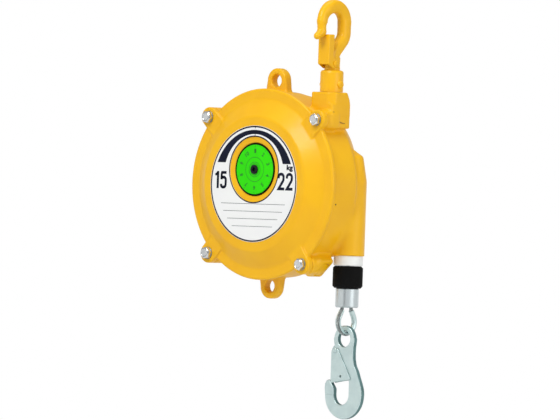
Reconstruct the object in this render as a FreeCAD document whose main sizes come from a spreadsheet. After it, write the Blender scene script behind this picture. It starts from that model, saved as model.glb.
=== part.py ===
import FreeCAD, Part
import math
import os
import re
import Sketcher

# Spring balancer for hanging a hand tool over a work place.
#
# Frames. Everything of the casing is drawn about the centre of the front cover: X to the right
# (rope side), Y to the back with 0 on the cover's flange, Z up. Pieces on the main shaft are drawn
# about the shaft's axis, pieces of the rope's end about the rope, and the worm along its own axis.
# The finished part has its origin in the middle of the top hook's bowl, where it is hung up.

SIZES = {
    # front cover
    "flange_radius": 115.0,
    "flange_thick": 6.0,
    "flange_flat": 13.0,         # flat rim between the slope and the flange's edge
    "slope_wide": 21.0,          # from the flange to the raised face
    "face_height": 13.7,         # raised face in front of the flange
    "cover_wall": 4.7,
    "spigot_depth": 3.0,
    "spigot_wall": 4.0,
    # bolts and lugs
    "bolt_out": 3.0,             # bolts beyond the flange's edge
    "bolt_upper_right": 42.0,    # degrees from +X
    "bolt_upper_left": 138.0,
    "bolt_lower_left": 226.0,
    "bolt_lower_right": -53.0,
    "bolt_radius": 4.0,
    "bolt_head_across": 13.0,
    "bolt_head_high": 5.5,
    "bolt_depth": 10.5,          # thread below the parting plane
    "washer_radius": 7.4,
    "washer_thick": 1.2,
    "lug_radius": 12.0,
    "lug_rise": 2.5,             # pads in front of the flange
    "pad_long": 24.0,            # radial pads, inwards from the bolts
    "column_depth": 20.0,
    # dial well and shaft
    "shaft_rise": 17.3,          # main shaft above the cover's centre
    "well_rim_radius": 38.5,
    "well_rim_depth": 1.5,
    "well_radius": 31.6,
    "well_floor": 8.6,           # well's floor, in front of the flange plane
    "well_wall": 4.0,
    "web_thick": 5.0,
    "hub_radius": 19.0,
    "hub_end": 16.0,
    "bush_wall": 3.0,
    "shaft_radius": 10.0,
    "running_gap": 0.05,
    "seat_gap": 0.02,
    "face_gap": 0.3,             # between faces of bodies that move past each other
    # name plate and dial
    "plate_margin": 11.0,        # raised face around the name plate
    "plate_gap": 0.8,            # name plate around the well's rim
    "plate_thick": 0.6,
    "dial_radius": 29.8,
    "dial_thick": 2.4,
    "dial_recess": 0.7,          # dial's front below the raised face
    "dial_hub_radius": 11.0,
    "dial_screw_radius": 3.0,
    "dial_screw_head": 5.5,
    "dial_screw_head_high": 1.6,
    "dial_screw_deep": 16.0,
    "dial_socket_across": 5.0,
    # rear casing
    "flange_lip": 3.5,           # flange beyond the wall
    "wall_thick": 4.5,
    "shoulder": 51.0,            # back of the wide part
    "housing_step": 1.2,         # top of the drum housing below the wall
    "cone_start": 60.0,
    "drum_back_gap": 5.5,        # housing's cone around the back of the drum
    "back_plane": 86.0,
    "boss_radius": 20.5,
    "boss_end": 94.0,
    "rear_bush_long": 7.4,
    "cap_bore": 16.5,
    "cap_flange": 3.0,
    # hanging ears
    "ear_up": 10.0,              # ear holes beyond the flange's edge
    "ear_down": 7.0,
    "ear_radius": 15.0,
    "ear_hole_radius": 7.75,
    "ear_front": 20.0,
    "ear_thick": 11.0,
    "ear_foot": 19.0,            # half width where the ear meets the wall
    # hook block and swivel
    "hook_inside": 9.0,          # swivel's axis inside the rope's
    "swivel_y": 30.8,
    "bowl_height": 196.6,
    "block_wide": 34.5,
    "block_deep": 33.5,
    "block_bottom": 69.6,
    "block_chamfer": 7.0,
    "chamfer_high": 12.0,
    "back_chamfer": 6.0,
    "pad_radius": 20.0,          # crescent groove in the block's side
    "pad_shift": 1.3,
    "pad_depth": 0.9,
    "pad_y": 4.5,
    "pad_below": 17.5,           # groove's middle below the block's top
    "stem_radius": 8.0,
    "stem_bush_wall": 3.0,
    "pocket_radius": 13.0,
    "pocket_floor": 74.0,
    "pocket_top": 88.0,
    "nut_across": 21.0,
    "nut_high": 10.5,
    "thread_radius": 7.0,
    "washer_high": 2.2,
    "cotter_radius": 1.4,
    "collar_radius": 13.9,
    "collar_high": 26.0,
    "collar_round": 3.0,
    "socket_deep": 22.0,
    "pin_radius": 3.0,
    "pin_seat": 13.1,
    "pin_head_radius": 4.65,
    "pin_head_high": 3.4,
    "pin_below_top": 17.0,
    # top hook
    "hook_bend": 18.8,           # centre line of the bowl
    "hook_section": 8.3,
    "hook_flat": 7.2,            # half thickness across the forged flats
    "neck_radius": 9.3,
    "shank_radius": 7.45,
    "nose_section": 5.8,
    "knob_radius": 4.4,
    "knob_y": 27.3,
    "knob_z": 16.2,
    "neck_long": 11.3,           # straight neck above the latch's tail
    "bend_top": 18.0,            # where the back limb starts to lean
    "limb_round": 16.0,
    "collar_below": 3.3,         # collar below the latch's tail
    "latch_front": 16.9,
    "latch_depth": 10.6,
    "latch_top": 15.0,
    "latch_slant": 5.9,          # front of the latch ends above its tail
    "latch_tail": 54.3,
    "latch_half": 8.9,
    "latch_sheet": 1.3,
    "latch_pivot_y": 4.5,
    "pivot_up": 4.8,             # latch's pin above its tail
    "latch_pin_radius": 2.0,
    "latch_pin_head": 3.3,
    "latch_pin_head_high": 1.4,
    # rope line
    "rope_shift": 8.0,           # rope's line outside the drum's last turn
    "rope_y": 61.5,
    "rope_radius": 2.38,
    "rope_fit": 0.07,
    "rope_bend_drop": 75.0,      # where the run turns upright, below the cover's centre
    "rope_bend": 100.0,
    "rope_wound_to": 325.0,      # end of the resting turn, degrees
    "outlet_radius": 19.0,
    "outlet_bottom": 82.3,       # below the cover's centre
    "outlet_neck_top": 7.0,      # straight part ends, above the centre
    "outlet_taper_top": 37.0,
    "outlet_taper_radius": 13.8,
    "outlet_tip": 44.0,
    "outlet_tip_radius": 3.2,
    "outlet_deep": 29.0,         # rope's line to the end of its housing inside the wall
    "channel_radius": 9.0,
    "channel_deep": 24.0,
    "guide_radius": 17.6,
    "guide_high": 11.9,
    "guide_bore": 3.4,
    "guide_mouth": 6.0,
    "guide_spigot": 14.0,
    "stopper_radius": 18.1,
    "stopper_high": 26.7,
    "stopper_chamfer": 2.6,
    "ferrule_radius": 14.0,
    "ferrule_high": 23.2,
    "ferrule_top_bore": 5.0,
    "ferrule_floor": 3.0,
    "eye_leg": 8.0,
    "eye_radius": 14.4,
    "eye_drop": 31.8,            # ferrule's end to the rope's lowest centre
    "eye_bend": 5.0,
    "thimble_wall": 0.9,
    "thimble_leg": 8.5,
    "thimble_spread": 100.0,
    # lower hook
    "plate_half": 3.0,
    "eye_hole": 9.7,
    "eye_outer": 15.9,
    "bowl_x": 1.5,
    "bowl_z": 66.9,
    "bowl_outer": 29.5,
    "slot_x": -1.8,
    "slot_z": 67.5,
    "slot_radius": 11.7,
    "throat_x": -4.0,
    "limb_bend": 47.0,
    "limb_out_low": 28.0,        # outer edge of the limb at four heights
    "limb_out_mid": 24.9,
    "limb_out_high": 22.0,
    "neck_out": 17.6,
    "gate_top": 21.5,
    "nose_top": 49.5,
    "rivet_x": -12.7,
    "rivet_z": 14.2,
    "rivet_radius": 1.8,
    "rivet_head": 3.0,
    "rivet_head_high": 1.0,
    "lug_round": 6.2,
    "gate_sheet": 1.0,
    "gate_gap": 0.3,
    "gate_left": -18.7,
    "gate_right": 14.5,
    "gate_low": 48.6,
    # worm gear
    "worm_angle": 47.0,          # slope of the worm's axis below +X
    "worm_y": 29.0,
    "gear_module": 1.5,
    "gear_teeth": 24.0,
    "gear_wide": 14.0,
    "worm_pitch_radius": 7.0,
    "tooth_tip": 1.3,            # above the pitch line
    "tooth_root": 1.9,           # below it
    "tooth_thick": 1.45,
    "tooth_thick_tip": 0.9,
    "tooth_thick_root": 2.3,
    "thread_long": 30.0,
    "worm_stem_radius": 6.0,
    "worm_tail_radius": 4.0,
    "worm_tail": 29.0,           # inner end, from the middle of the thread
    "worm_end_in": 25.0,         # hexagon socket inside the boss's end
    "worm_socket_across": 8.0,
    "worm_socket_deep": 10.0,
    "cradle_at": 23.0,
    "cradle_thick": 9.0,
    "cradle_half": 11.0,
    "worm_boss_wide": 30.0,
    "worm_boss_front": 15.0,
    "worm_boss_back": 41.8,
    "worm_boss_long": 48.5,
    "worm_boss_out": 25.5,       # boss beyond the wall's radius
    "worm_bore": 9.85,
    "outer_bush_long": 14.0,
    "plug_long": 9.0,
    "plug_dome": 2.0,
    # drum
    "drum_front": 41.0,
    "drum_gap": 0.5,             # drum's flange inside the housing
    "drum_flange_thick": 2.6,
    "flange_deep": 7.0,          # drum's flange beyond the rope's centre on its resting turn
    "turn_rise": 1.5,            # each turn further out is wider by this
    "turn_pitch": 5.2,
    "turn_count": 4.0,
    "land_below": 1.2,           # rim below the rope's centre
    "lip_rise": 1.0,             # lip beyond the rope's centre
    "lip_end": 66.0,
    "drum_back": 80.0,
    "back_step": 10.5,           # back of the drum inside the resting turn
    "drum_wall": 3.5,            # around the spring
    "cavity_front": 46.0,
    "cavity_back": 76.0,
    "seat_step": 7.0,            # cover's seat inside the resting turn
    "drum_cover_thick": 4.0,
    "cover_boss_radius": 24.0,
    "cover_screw_count": 6.0,
    "cover_screw_radius": 2.0,
    "cover_screw_head": 3.3,
    "cover_screw_long": 10.0,
    "bearing_outer": 16.0,
    "bearing_wide": 7.0,
    "bearing_pitch": 13.0,
    "ball_radius": 1.6,
    "ball_count": 10.0,
    "race_wall": 2.1,
    "web_boss_radius": 20.0,
    "web_boss_high": 2.4,
    # spring
    "arbor_radius": 19.6,
    "spring_inner": 20.6,
    "spring_sheet": 1.4,
    "spring_pitch": 3.2,
    "spring_free": 3.0,          # between the wound spring and the drum
    "spring_front": 48.0,
    "spring_wide": 26.0,
    "spring_tab": 4.0,
    "spring_tail": 2.4,
    "anchor_high": 9.0,
    "key_wide": 4.0,
    "key_sunk": 2.0,
    "ring_thick": 1.2,
    "ring_groove": 1.0,
    "ring_outer": 13.5,
}

# Sizes that follow from others and a named clearance; the sheet works them out.
FOLLOWING = {
    "slope_radius": "flange_radius - flange_flat",
    "face_radius": "slope_radius - slope_wide",
    "plate_radius": "face_radius - plate_margin",
    "plate_hole_radius": "well_rim_radius + plate_gap",
    "bolt_circle": "flange_radius + bolt_out",
    "lug_reach": "bolt_circle - pad_long",
    "wall_radius": "flange_radius - flange_lip",
    "ear_top": "flange_radius + ear_up",
    "ear_bottom": "flange_radius + ear_down",
    "housing_radius": "wall_radius - shaft_rise - housing_step",
    "drum_flange_radius": "housing_radius - wall_thick - drum_gap",
    "turn_radius": "drum_flange_radius - flange_deep",
    "lip_radius": "turn_radius + lip_rise",
    "cover_seat_radius": "turn_radius - seat_step",
    "drum_back_radius": "turn_radius - back_step",
    "cover_screw_circle": "drum_back_radius",
    "cavity_radius": "drum_back_radius - drum_wall",
    "back_radius": "drum_back_radius + drum_back_gap",
    "spring_half_turns": "1 + 2 * floor((cavity_radius - spring_inner - spring_free) / spring_pitch - 0.5)",
    "rope_x": "turn_radius + rope_shift",
    "swivel_x": "rope_x - hook_inside",
    "outlet_inner": "rope_x - outlet_deep",
    "collar_top": "latch_tail + collar_below",
    "neck_top": "latch_tail - neck_long",
    "latch_low": "latch_tail - latch_slant",
    "latch_pivot_z": "latch_tail - pivot_up",
    "block_top": "bowl_height - collar_top - collar_high - face_gap",
    "pad_z": "block_top - pad_below",
    "worm_boss_end": "wall_radius + worm_boss_out",
    "worm_boss_from": "worm_boss_end - worm_boss_long",
    "worm_end": "worm_boss_end - worm_end_in",
    "outer_bush_from": "worm_end - outer_bush_long",
}

X_AXIS = FreeCAD.Vector(1, 0, 0)
Y_AXIS = FreeCAD.Vector(0, 1, 0)
Z_AXIS = FreeCAD.Vector(0, 0, 1)
V = FreeCAD.Vector
WORD = re.compile(r"[a-z_]+[a-z_0-9]*")

doc = FreeCAD.newDocument("tool_balancer")
sheet = doc.addObject("Spreadsheet::Sheet", "Sizes")
ENTRIES = {**SIZES, **{name: "=" + text for name, text in FOLLOWING.items()}}
for row, (alias, entry) in enumerate(ENTRIES.items(), start=1):
    sheet.set(f"A{row}", alias)
    sheet.set(f"B{row}", str(entry))
    sheet.setAlias(f"B{row}", alias)
doc.recompute()


# ---------------------------------------------------------------- helpers

def cells(text):
    """An expression in plain size names, with each name turned into its cell of the sheet."""
    return WORD.sub(lambda word: "Sizes." + word.group() if word.group() in ENTRIES else word.group(), text)


def num(text):
    """The expression's value, read from the sheet."""
    return float(sheet.evalExpression(cells(text)))


def bind(thing, **properties):
    for name, text in properties.items():
        thing.setExpression(name, cells(text))


def at(x="0", y="0", z="0", turn=None):
    """A placement whose corner is given by three expressions."""
    return FreeCAD.Placement(V(num(x), num(y), num(z)), turn or FreeCAD.Rotation())


CASING = at("-swivel_x", "-swivel_y", "-bowl_height")
SHAFT = CASING * at(z="shaft_rise")
ROPE = CASING * at("rope_x", "rope_y")
HOOK = at()
WORM = (SHAFT * at(y="worm_y", turn=FreeCAD.Rotation(Y_AXIS, 90 + num("worm_angle")))
        * at("worm_pitch_radius + gear_module * gear_teeth / 2"))
EYE = ROPE * at(z="-(outlet_bottom + guide_high + face_gap + stopper_high + ferrule_high + eye_drop)")
THIMBLE = "(rope_radius + rope_fit + thimble_wall)"
THROAT = f"(eye_radius - {THIMBLE})"
LOWER = EYE * at(z=f"{THIMBLE} + {THROAT} - sqrt({THROAT}^2 - plate_half^2) + face_gap - eye_hole")


def body(label, frame):
    made = doc.addObject("PartDesign::Body", label)
    made.Label = label
    made.Placement = frame
    return made


def sketch(owner, plane, lift="0", right="0", up="0"):
    """A sketch on an origin plane of its body, lifted along the plane's normal (-Y on XZ_Plane)."""
    made = owner.newObject("Sketcher::SketchObject", "Sketch")
    support = [part for part in owner.Origin.OriginFeatures if part.Role == plane][0]
    made.AttachmentSupport = [(support, "")]
    made.MapMode = "FlatFace"
    for axis, text in (("x", right), ("y", up), ("z", lift)):
        if text != "0":
            made.setExpression(f".AttachmentOffset.Base.{axis}", cells(text))
    return made


def pin_down(drawing, index, vertex, x, y):
    """Holds a vertex at two expressions, measured from the sketch's origin."""
    for kind, axis, text in (("DistanceX", -2, x), ("DistanceY", -1, y)):
        if text == "0":
            drawing.addConstraint(Sketcher.Constraint("PointOnObject", index, vertex, axis))
        else:
            held = drawing.addConstraint(Sketcher.Constraint(kind, -1, 1, index, vertex, num(text)))
            drawing.setExpression(f"Constraints[{held}]", cells(text))


def polygon(drawing, points):
    corners = [V(num(x), num(y), 0) for x, y in points]
    first = drawing.GeometryCount
    count = len(points)
    for start, end in zip(corners, corners[1:] + corners[:1]):
        drawing.addGeometry(Part.LineSegment(start, end))
    for step in range(count):
        following = first + (step + 1) % count
        drawing.addConstraint(Sketcher.Constraint("Coincident", first + step, 2, following, 1))
    for step, (x, y) in enumerate(points):
        pin_down(drawing, first + step, 1, x, y)
    return drawing


def circle(drawing, radius, x="0", y="0"):
    index = drawing.addGeometry(Part.Circle(V(num(x), num(y), 0), Z_AXIS, num(radius)))
    held = drawing.addConstraint(Sketcher.Constraint("Radius", index, num(radius)))
    drawing.setExpression(f"Constraints[{held}]", cells(radius))
    pin_down(drawing, index, 3, x, y)
    return drawing


def box_points(x0, x1, y0, y1):
    return [(x0, y0), (x1, y0), (x1, y1), (x0, y1)]


def feature(owner, kind, drawing, length=None, other_way=False):
    """Adds a sketch-based feature and makes sure that it adds or removes material as it should."""
    before = owner.Shape.Volume if owner.Tip else 0.0
    made = owner.newObject("PartDesign::" + kind, kind)
    made.Profile = drawing
    if length is None:
        made.ReferenceAxis = (drawing, ["V_Axis"])
        made.Angle = 360
    else:
        bind(made, Length=length)
    made.Reversed = other_way
    doc.recompute()
    grows = kind in ("Pad", "Revolution")
    change = owner.Shape.Volume - before
    if (change > 1e-3) != grows or abs(change) < 1e-3:
        raise RuntimeError(f"{owner.Label}: {kind} changed the volume by {change:.3f}")
    return made


def revolve(owner, drawing):
    return feature(owner, "Revolution", drawing)


def groove(owner, drawing):
    return feature(owner, "Groove", drawing)


def pad(owner, drawing, length, other_way=False):
    """Material along the sketch plane's normal, or against it."""
    return feature(owner, "Pad", drawing, length, other_way)


def pocket(owner, drawing, length, other_way=False):
    """A cut against the sketch plane's normal, or along it."""
    return feature(owner, "Pocket", drawing, length, other_way)


def round_edges(owner, radius, wanted):
    """Fillets the edges of the body's last feature that the test picks out."""
    base = owner.Tip
    names = [f"Edge{n}" for n, edge in enumerate(base.Shape.Edges, start=1) if wanted(edge)]
    made = owner.newObject("PartDesign::Fillet", "Fillet")
    made.Base = (base, names)
    bind(made, Radius=radius)
    doc.recompute()
    return made


def turned(label, frame, points, along="Y"):
    """A turned piece: the profile's points are (radius, place along the axis)."""
    made = body(label, frame)
    plane = "XY_Plane" if along == "Y" else "XZ_Plane"
    revolve(made, polygon(sketch(made, plane), points))
    return made


def sleeve(label, frame, inner, outer, start, end, along="Y"):
    return turned(label, frame, [(inner, start), (outer, start), (outer, end), (inner, end)], along)


def solid(kind, sizes, place):
    """One of Part's primitives, its sizes bound to the sheet."""
    made = doc.addObject("Part::" + kind, kind)
    bind(made, **sizes)
    made.Placement = place
    return made


def along_y(x="0", y="0", z="0"):
    """A place for a cylinder or prism that runs to the back from the point given."""
    return at(x, y, z, FreeCAD.Rotation(X_AXIS, -90))


def cylinder(radius, height, place):
    return solid("Cylinder", {"Radius": radius, "Height": height}, place)


def block(x, y, z, place):
    return solid("Box", {"Length": x, "Width": y, "Height": z}, place)


def hexagon(across, height, place):
    made = doc.addObject("Part::Prism", "Prism")
    made.Polygon = 6
    bind(made, Circumradius=f"({across}) / sqrt(3)", Height=height)
    made.Placement = place
    return made


def cut(base, tool):
    made = doc.addObject("Part::Cut", "Cut")
    made.Base = base
    made.Tool = tool
    return made


def fuse(*shapes):
    made = doc.addObject("Part::MultiFuse", "Fuse")
    made.Shapes = list(shapes)
    return made


def group(label, frame, shapes):
    """Like pieces as separate solids under one name."""
    made = doc.addObject("Part::Compound", label)
    made.Links = list(shapes)
    made.Label = label
    made.Placement = frame
    return made


def finished(label, frame, made):
    made.Label = label
    made.Placement = frame
    return made


def shaped(label, frame, shape):
    """A piece whose shape is worked out here, from the sheet's sizes."""
    made = doc.addObject("Part::Feature", label)
    made.Shape = shape
    made.Label = label
    made.Placement = frame
    return made


def on_circle(radius, degrees):
    """The X and Z of a point on a circle, as expressions."""
    return f"{radius} * cos({degrees})", f"{radius} * sin({degrees})"


def run(points, bends):
    """A wire of straight runs joined by tangent arcs; bends holds the radius at each inner corner."""
    edges = []
    start = points[0]
    for before, corner, after, radius in zip(points, points[1:], points[2:], bends):
        into = (corner - before).normalize()
        out = (after - corner).normalize()
        half = into.getAngle(out) / 2
        reach = radius * math.tan(half)
        first = corner - into * reach
        last = corner + out * reach
        inward = (out - into).normalize()
        middle = corner + inward * (radius / math.cos(half) - radius)
        edges.append(Part.LineSegment(start, first).toShape())
        edges.append(Part.Arc(first, middle, last).toShape())
        start = last
    edges.append(Part.LineSegment(start, points[-1]).toShape())
    return Part.Wire(edges)


def swept(path, section):
    """The closed section carried along the path."""
    made = path.makePipeShell([section], True, False)
    return made if made.Volume > 0 else made.reversed()


def round_section(centre, normal, radius):
    return Part.Wire([Part.Circle(centre, normal, radius).toShape()])


BOLT_ANGLES = ["bolt_upper_right", "bolt_upper_left", "bolt_lower_left", "bolt_lower_right"]
CENTRES = "(worm_pitch_radius + gear_module * gear_teeth / 2)"
WALL_INNER = "wall_radius - wall_thick"


# ---------------------------------------------------------------- casing

def front_cover():
    cover = body("front_cover_casting", FreeCAD.Placement())
    outer = [
        ("0", "-face_height"), ("face_radius", "-face_height"), ("slope_radius", "0"),
        ("flange_radius", "0"), ("flange_radius", "flange_thick"), ("0", "flange_thick")]
    revolve(cover, polygon(sketch(cover, "XY_Plane"), outer))
    rims = ("face_radius", "-face_height"), ("slope_radius", "0"), ("flange_radius", "0")

    def on_rim(edge):
        return any(
            abs(edge.BoundBox.YMin - num(y)) < 1e-3 and abs(edge.BoundBox.YMax - num(y)) < 1e-3
            and abs(edge.BoundBox.XMax - num(radius)) < 1e-3 for radius, y in rims)

    round_edges(cover, "flange_thick / 3", on_rim)
    spigot = f"{WALL_INNER} - face_gap"
    ring = [
        (f"{spigot} - spigot_wall", "flange_thick - cover_wall"), (spigot, "flange_thick - cover_wall"),
        (spigot, "flange_thick + spigot_depth"),
        (f"{spigot} - spigot_wall", "flange_thick + spigot_depth")]
    revolve(cover, polygon(sketch(cover, "XY_Plane"), ring))
    inside = [
        ("0", "cover_wall - face_height"), ("face_radius - cover_wall", "cover_wall - face_height"),
        ("slope_radius - cover_wall", "cover_wall"), ("slope_radius - cover_wall", "flange_thick + 1"),
        ("0", "flange_thick + 1")]
    groove(cover, polygon(sketch(cover, "XY_Plane"), inside))
    # dial well, hub of the front bush
    back = [
        ("0", "cover_wall / 2 - face_height"), ("well_radius + well_wall", "cover_wall / 2 - face_height"),
        ("well_radius + well_wall", "web_thick - well_floor"), ("hub_radius", "web_thick - well_floor"),
        ("hub_radius", "hub_end"), ("0", "hub_end")]
    revolve(cover, polygon(sketch(cover, "XY_Plane", "shaft_rise"), back))
    well = [
        ("0", "-face_height - 1"), ("well_rim_radius", "-face_height - 1"),
        ("well_rim_radius", "-face_height"), ("well_radius", "well_rim_depth - face_height"),
        ("well_radius", "-well_floor"), ("0", "-well_floor")]
    groove(cover, polygon(sketch(cover, "XY_Plane", "shaft_rise"), well))
    seat = sketch(cover, "XZ_Plane", "well_floor", up="shaft_rise")
    pocket(cover, circle(seat, "shaft_radius + bush_wall"),
           "well_floor + hub_end")
    # radial pads and bolt lugs
    for angle in BOLT_ANGLES:
        x, z = on_circle("bolt_circle", angle)
        pad(cover, circle(sketch(cover, "XZ_Plane", "lug_rise"), "lug_radius", x, z),
            "lug_rise + flange_thick", True)
        corners = []
        for reach, side in (("lug_reach", -1), ("lug_reach", 1), ("bolt_circle", 1), ("bolt_circle", -1)):
            corners.append((
                f"{reach} * cos({angle}) - {side} * lug_radius * sin({angle})",
                f"{reach} * sin({angle}) + {side} * lug_radius * cos({angle})"))
        pad(cover, polygon(sketch(cover, "XZ_Plane", "lug_rise"), corners),
            "lug_rise + flange_thick / 2", True)
    for angle in BOLT_ANGLES:
        x, z = on_circle("bolt_circle", angle)
        pocket(cover, circle(sketch(cover, "XZ_Plane", "lug_rise"), "bolt_radius + face_gap", x, z),
               "lug_rise + flange_thick")
    # cradle that carries the worm's inner end
    sine, cosine = "sin(worm_angle)", "cos(worm_angle)"
    corners = []
    for along, side in ((-1, -1), (1, -1), (1, 1), (-1, 1)):
        reach = f"(-cradle_at + {along} * cradle_thick / 2)"
        away = f"({CENTRES} + {side} * cradle_half)"
        corners.append((f"{reach} * {cosine} - {away} * {sine}",
                        f"shaft_rise - {reach} * {sine} - {away} * {cosine}"))
    pad(cover, polygon(sketch(cover, "XZ_Plane", "well_floor - web_thick / 2"), corners),
        "worm_y + cradle_half - 3 + well_floor - web_thick / 2", True)
    bore = cylinder("worm_tail_radius + bush_wall", "cradle_thick + 2", CASING.inverse() * WORM * at(
        z="-cradle_at - cradle_thick / 2 - 1"))
    return finished("front_cover", CASING, cut(cover, bore))


def rear_casing():
    case = body("rear_casing_casting", FreeCAD.Placement())
    wide = [
        ("0", "flange_thick"), ("wall_radius", "flange_thick"), ("wall_radius", "shoulder - wall_thick"),
        ("wall_radius - wall_thick", "shoulder"), ("0", "shoulder")]
    revolve(case, polygon(sketch(case, "XY_Plane"), wide))
    housing = [
        ("0", "shoulder - wall_thick"), ("housing_radius", "shoulder - wall_thick"),
        ("housing_radius", "cone_start"), ("back_radius", "back_plane - 2"),
        ("back_radius - 2", "back_plane"), ("boss_radius", "back_plane"), ("boss_radius", "boss_end"),
        ("0", "boss_end")]
    revolve(case, polygon(sketch(case, "XY_Plane", "shaft_rise"), housing))
    # housing over the rope, from the drum to the outlet
    tower = [
        ("0", "-outlet_bottom"), ("outlet_radius", "-outlet_bottom"), ("outlet_radius", "outlet_neck_top"),
        ("outlet_taper_radius", "outlet_taper_top"), ("outlet_tip_radius", "outlet_tip"),
        ("0", "outlet_tip")]
    revolve(case, polygon(sketch(case, "XZ_Plane", "-rope_y", right="rope_x"), tower))
    side = box_points("outlet_inner", "rope_x", "rope_y - outlet_radius", "rope_y + outlet_radius")
    pad(case, polygon(sketch(case, "XY_Plane", "-outlet_bottom"), side), "outlet_bottom + outlet_neck_top")
    web = box_points("outlet_inner", "rope_x", "rope_y - outlet_taper_radius", "rope_y + outlet_taper_radius")
    pad(case, polygon(sketch(case, "XY_Plane"), web), "outlet_taper_top")
    # block that carries the hook's swivel
    left, right_side = "swivel_x - block_wide / 2", "swivel_x + block_wide / 2"
    front, rear = "swivel_y - block_deep / 2", "swivel_y + block_deep / 2"
    pad(case, polygon(sketch(case, "XY_Plane", "block_bottom"), box_points(left, right_side, front, rear)),
        "block_top - chamfer_high - block_bottom")
    top = [
        (left, front), (f"{right_side} - block_chamfer", front), (right_side, f"{front} + block_chamfer"),
        (right_side, rear), (left, rear)]
    pad(case, polygon(sketch(case, "XY_Plane", "block_top - chamfer_high"), top), "chamfer_high")
    wedge = [
        (f"{rear} - back_chamfer", "block_top"), (f"{rear} + 1", "block_top"),
        (f"{rear} + 1", "block_top - chamfer_high"), (rear, "block_top - chamfer_high")]
    pocket(case, polygon(sketch(case, "YZ_Plane", f"{right_side} + 1"), wedge), "block_wide + 2")
    for angle in BOLT_ANGLES:
        x, z = on_circle("bolt_circle", angle)
        pad(case, circle(sketch(case, "XZ_Plane", "-flange_thick"), "lug_radius", x, z), "column_depth", True)
    # ears with their holes
    for sign, reach in (("", "ear_top"), ("-", "ear_bottom")):
        pad(case, circle(sketch(case, "XZ_Plane", "-ear_front"), "ear_radius", "0", sign + reach),
            "ear_thick", True)
        foot = "wall_radius * 0.94"
        flank = [
            ("-ear_foot", f"{sign}{foot}"), ("ear_foot", f"{sign}{foot}"),
            ("ear_radius * cos(26)", f"{sign}({reach} + ear_radius * sin(26))"),
            ("-ear_radius * cos(26)", f"{sign}({reach} + ear_radius * sin(26))")]
        pad(case, polygon(sketch(case, "XZ_Plane", "-ear_front"), flank), "ear_thick", True)
    # the hollow inside
    wide = [
        ("0", "flange_thick - 1"), (WALL_INNER, "flange_thick - 1"), (WALL_INNER, "shoulder - wall_thick"),
        ("0", "shoulder - wall_thick")]
    groove(case, polygon(sketch(case, "XY_Plane"), wide))
    slant = "(wall_thick + 0.5)"
    hollow = [
        ("0", "shoulder - 2 * wall_thick"), ("housing_radius - wall_thick", "shoulder - 2 * wall_thick"),
        ("housing_radius - wall_thick", "cone_start - 1"),
        (f"back_radius - {slant}", "back_plane - wall_thick"), ("0", "back_plane - wall_thick")]
    groove(case, polygon(sketch(case, "XY_Plane", "shaft_rise"), hollow))
    hub = [
        ("0", "back_plane - wall_thick - 1"), ("shaft_radius + bush_wall", "back_plane - wall_thick - 1"),
        ("shaft_radius + bush_wall", "back_plane - wall_thick + rear_bush_long"),
        ("cap_bore", "back_plane - wall_thick + rear_bush_long"), ("cap_bore", "boss_end + 1"),
        ("0", "boss_end + 1")]
    groove(case, polygon(sketch(case, "XY_Plane", "shaft_rise"), hub))
    # boss of the worm's bore
    sine, cosine = "sin(worm_angle)", "cos(worm_angle)"
    corners = []
    for reach, side in (("worm_boss_from", -1), ("worm_boss_end", -1), ("worm_boss_end", 1),
                        ("worm_boss_from", 1)):
        away = f"({CENTRES} + {side} * worm_boss_wide / 2)"
        corners.append((f"{reach} * {cosine} - {away} * {sine}",
                        f"shaft_rise - {reach} * {sine} - {away} * {cosine}"))
    pad(case, polygon(sketch(case, "XZ_Plane", "-worm_boss_front"), corners),
        "worm_boss_back - worm_boss_front", True)
    # way of the rope
    channel = [
        ("0", "-outlet_bottom - 1"), ("channel_radius", "-outlet_bottom - 1"),
        ("channel_radius", "channel_deep"), ("0", "channel_deep")]
    groove(case, polygon(sketch(case, "XZ_Plane", "-rope_y", right="rope_x"), channel))
    passage = box_points("turn_radius - channel_radius", "rope_x", "rope_y - channel_radius",
                         "rope_y + channel_radius")
    pocket(case, polygon(sketch(case, "XY_Plane", "channel_deep"), passage),
           "channel_deep + outlet_bottom - guide_spigot - 6")
    # hook swivel: stem bore and a nut pocket that opens to the inside
    swivel = {"right": "swivel_x", "up": "swivel_y"}
    pocket(case, circle(sketch(case, "XY_Plane", "block_top + 1", **swivel), "stem_radius + stem_bush_wall"),
           "block_top + 1 - pocket_floor")
    pocket(case, circle(sketch(case, "XY_Plane", "pocket_top", **swivel), "pocket_radius"),
           "pocket_top - pocket_floor")
    window = box_points("swivel_x - 2 * pocket_radius", "swivel_x", "swivel_y - pocket_radius",
                        "swivel_y + pocket_radius")
    pocket(case, polygon(sketch(case, "XY_Plane", "pocket_top"), window), "pocket_top - pocket_floor")
    for angle in BOLT_ANGLES:
        x, z = on_circle("bolt_circle", angle)
        pocket(case, circle(sketch(case, "XZ_Plane", "-flange_thick"), "bolt_radius + seat_gap", x, z),
               "bolt_depth + face_gap")
    for height in ("ear_top", "-ear_bottom"):
        pocket(case, circle(sketch(case, "XZ_Plane", "1 - ear_front"), "ear_hole_radius", "0", height),
               "ear_thick + 2")
    # crescent groove in the side of the block
    inverse = CASING.inverse() * WORM
    worm_way = cylinder("worm_bore", "worm_boss_end - worm_boss_from + 6 + lug_radius",
                        inverse * at(z="worm_boss_from - 6"))
    turn = FreeCAD.Rotation(Y_AXIS, 90)
    disc = cylinder("pad_radius", "pad_depth + 1",
                    at(f"{right_side} - pad_depth", "swivel_y + pad_y", "pad_z", turn))
    core = cylinder("pad_radius", "pad_depth + 3",
                    at(f"{right_side} - pad_depth - 1", "swivel_y + pad_y + pad_shift", "pad_z + pad_shift",
                       turn))
    crescent = cut(disc, core)
    return finished("rear_casing", CASING, cut(cut(case, worm_way), crescent))


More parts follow.
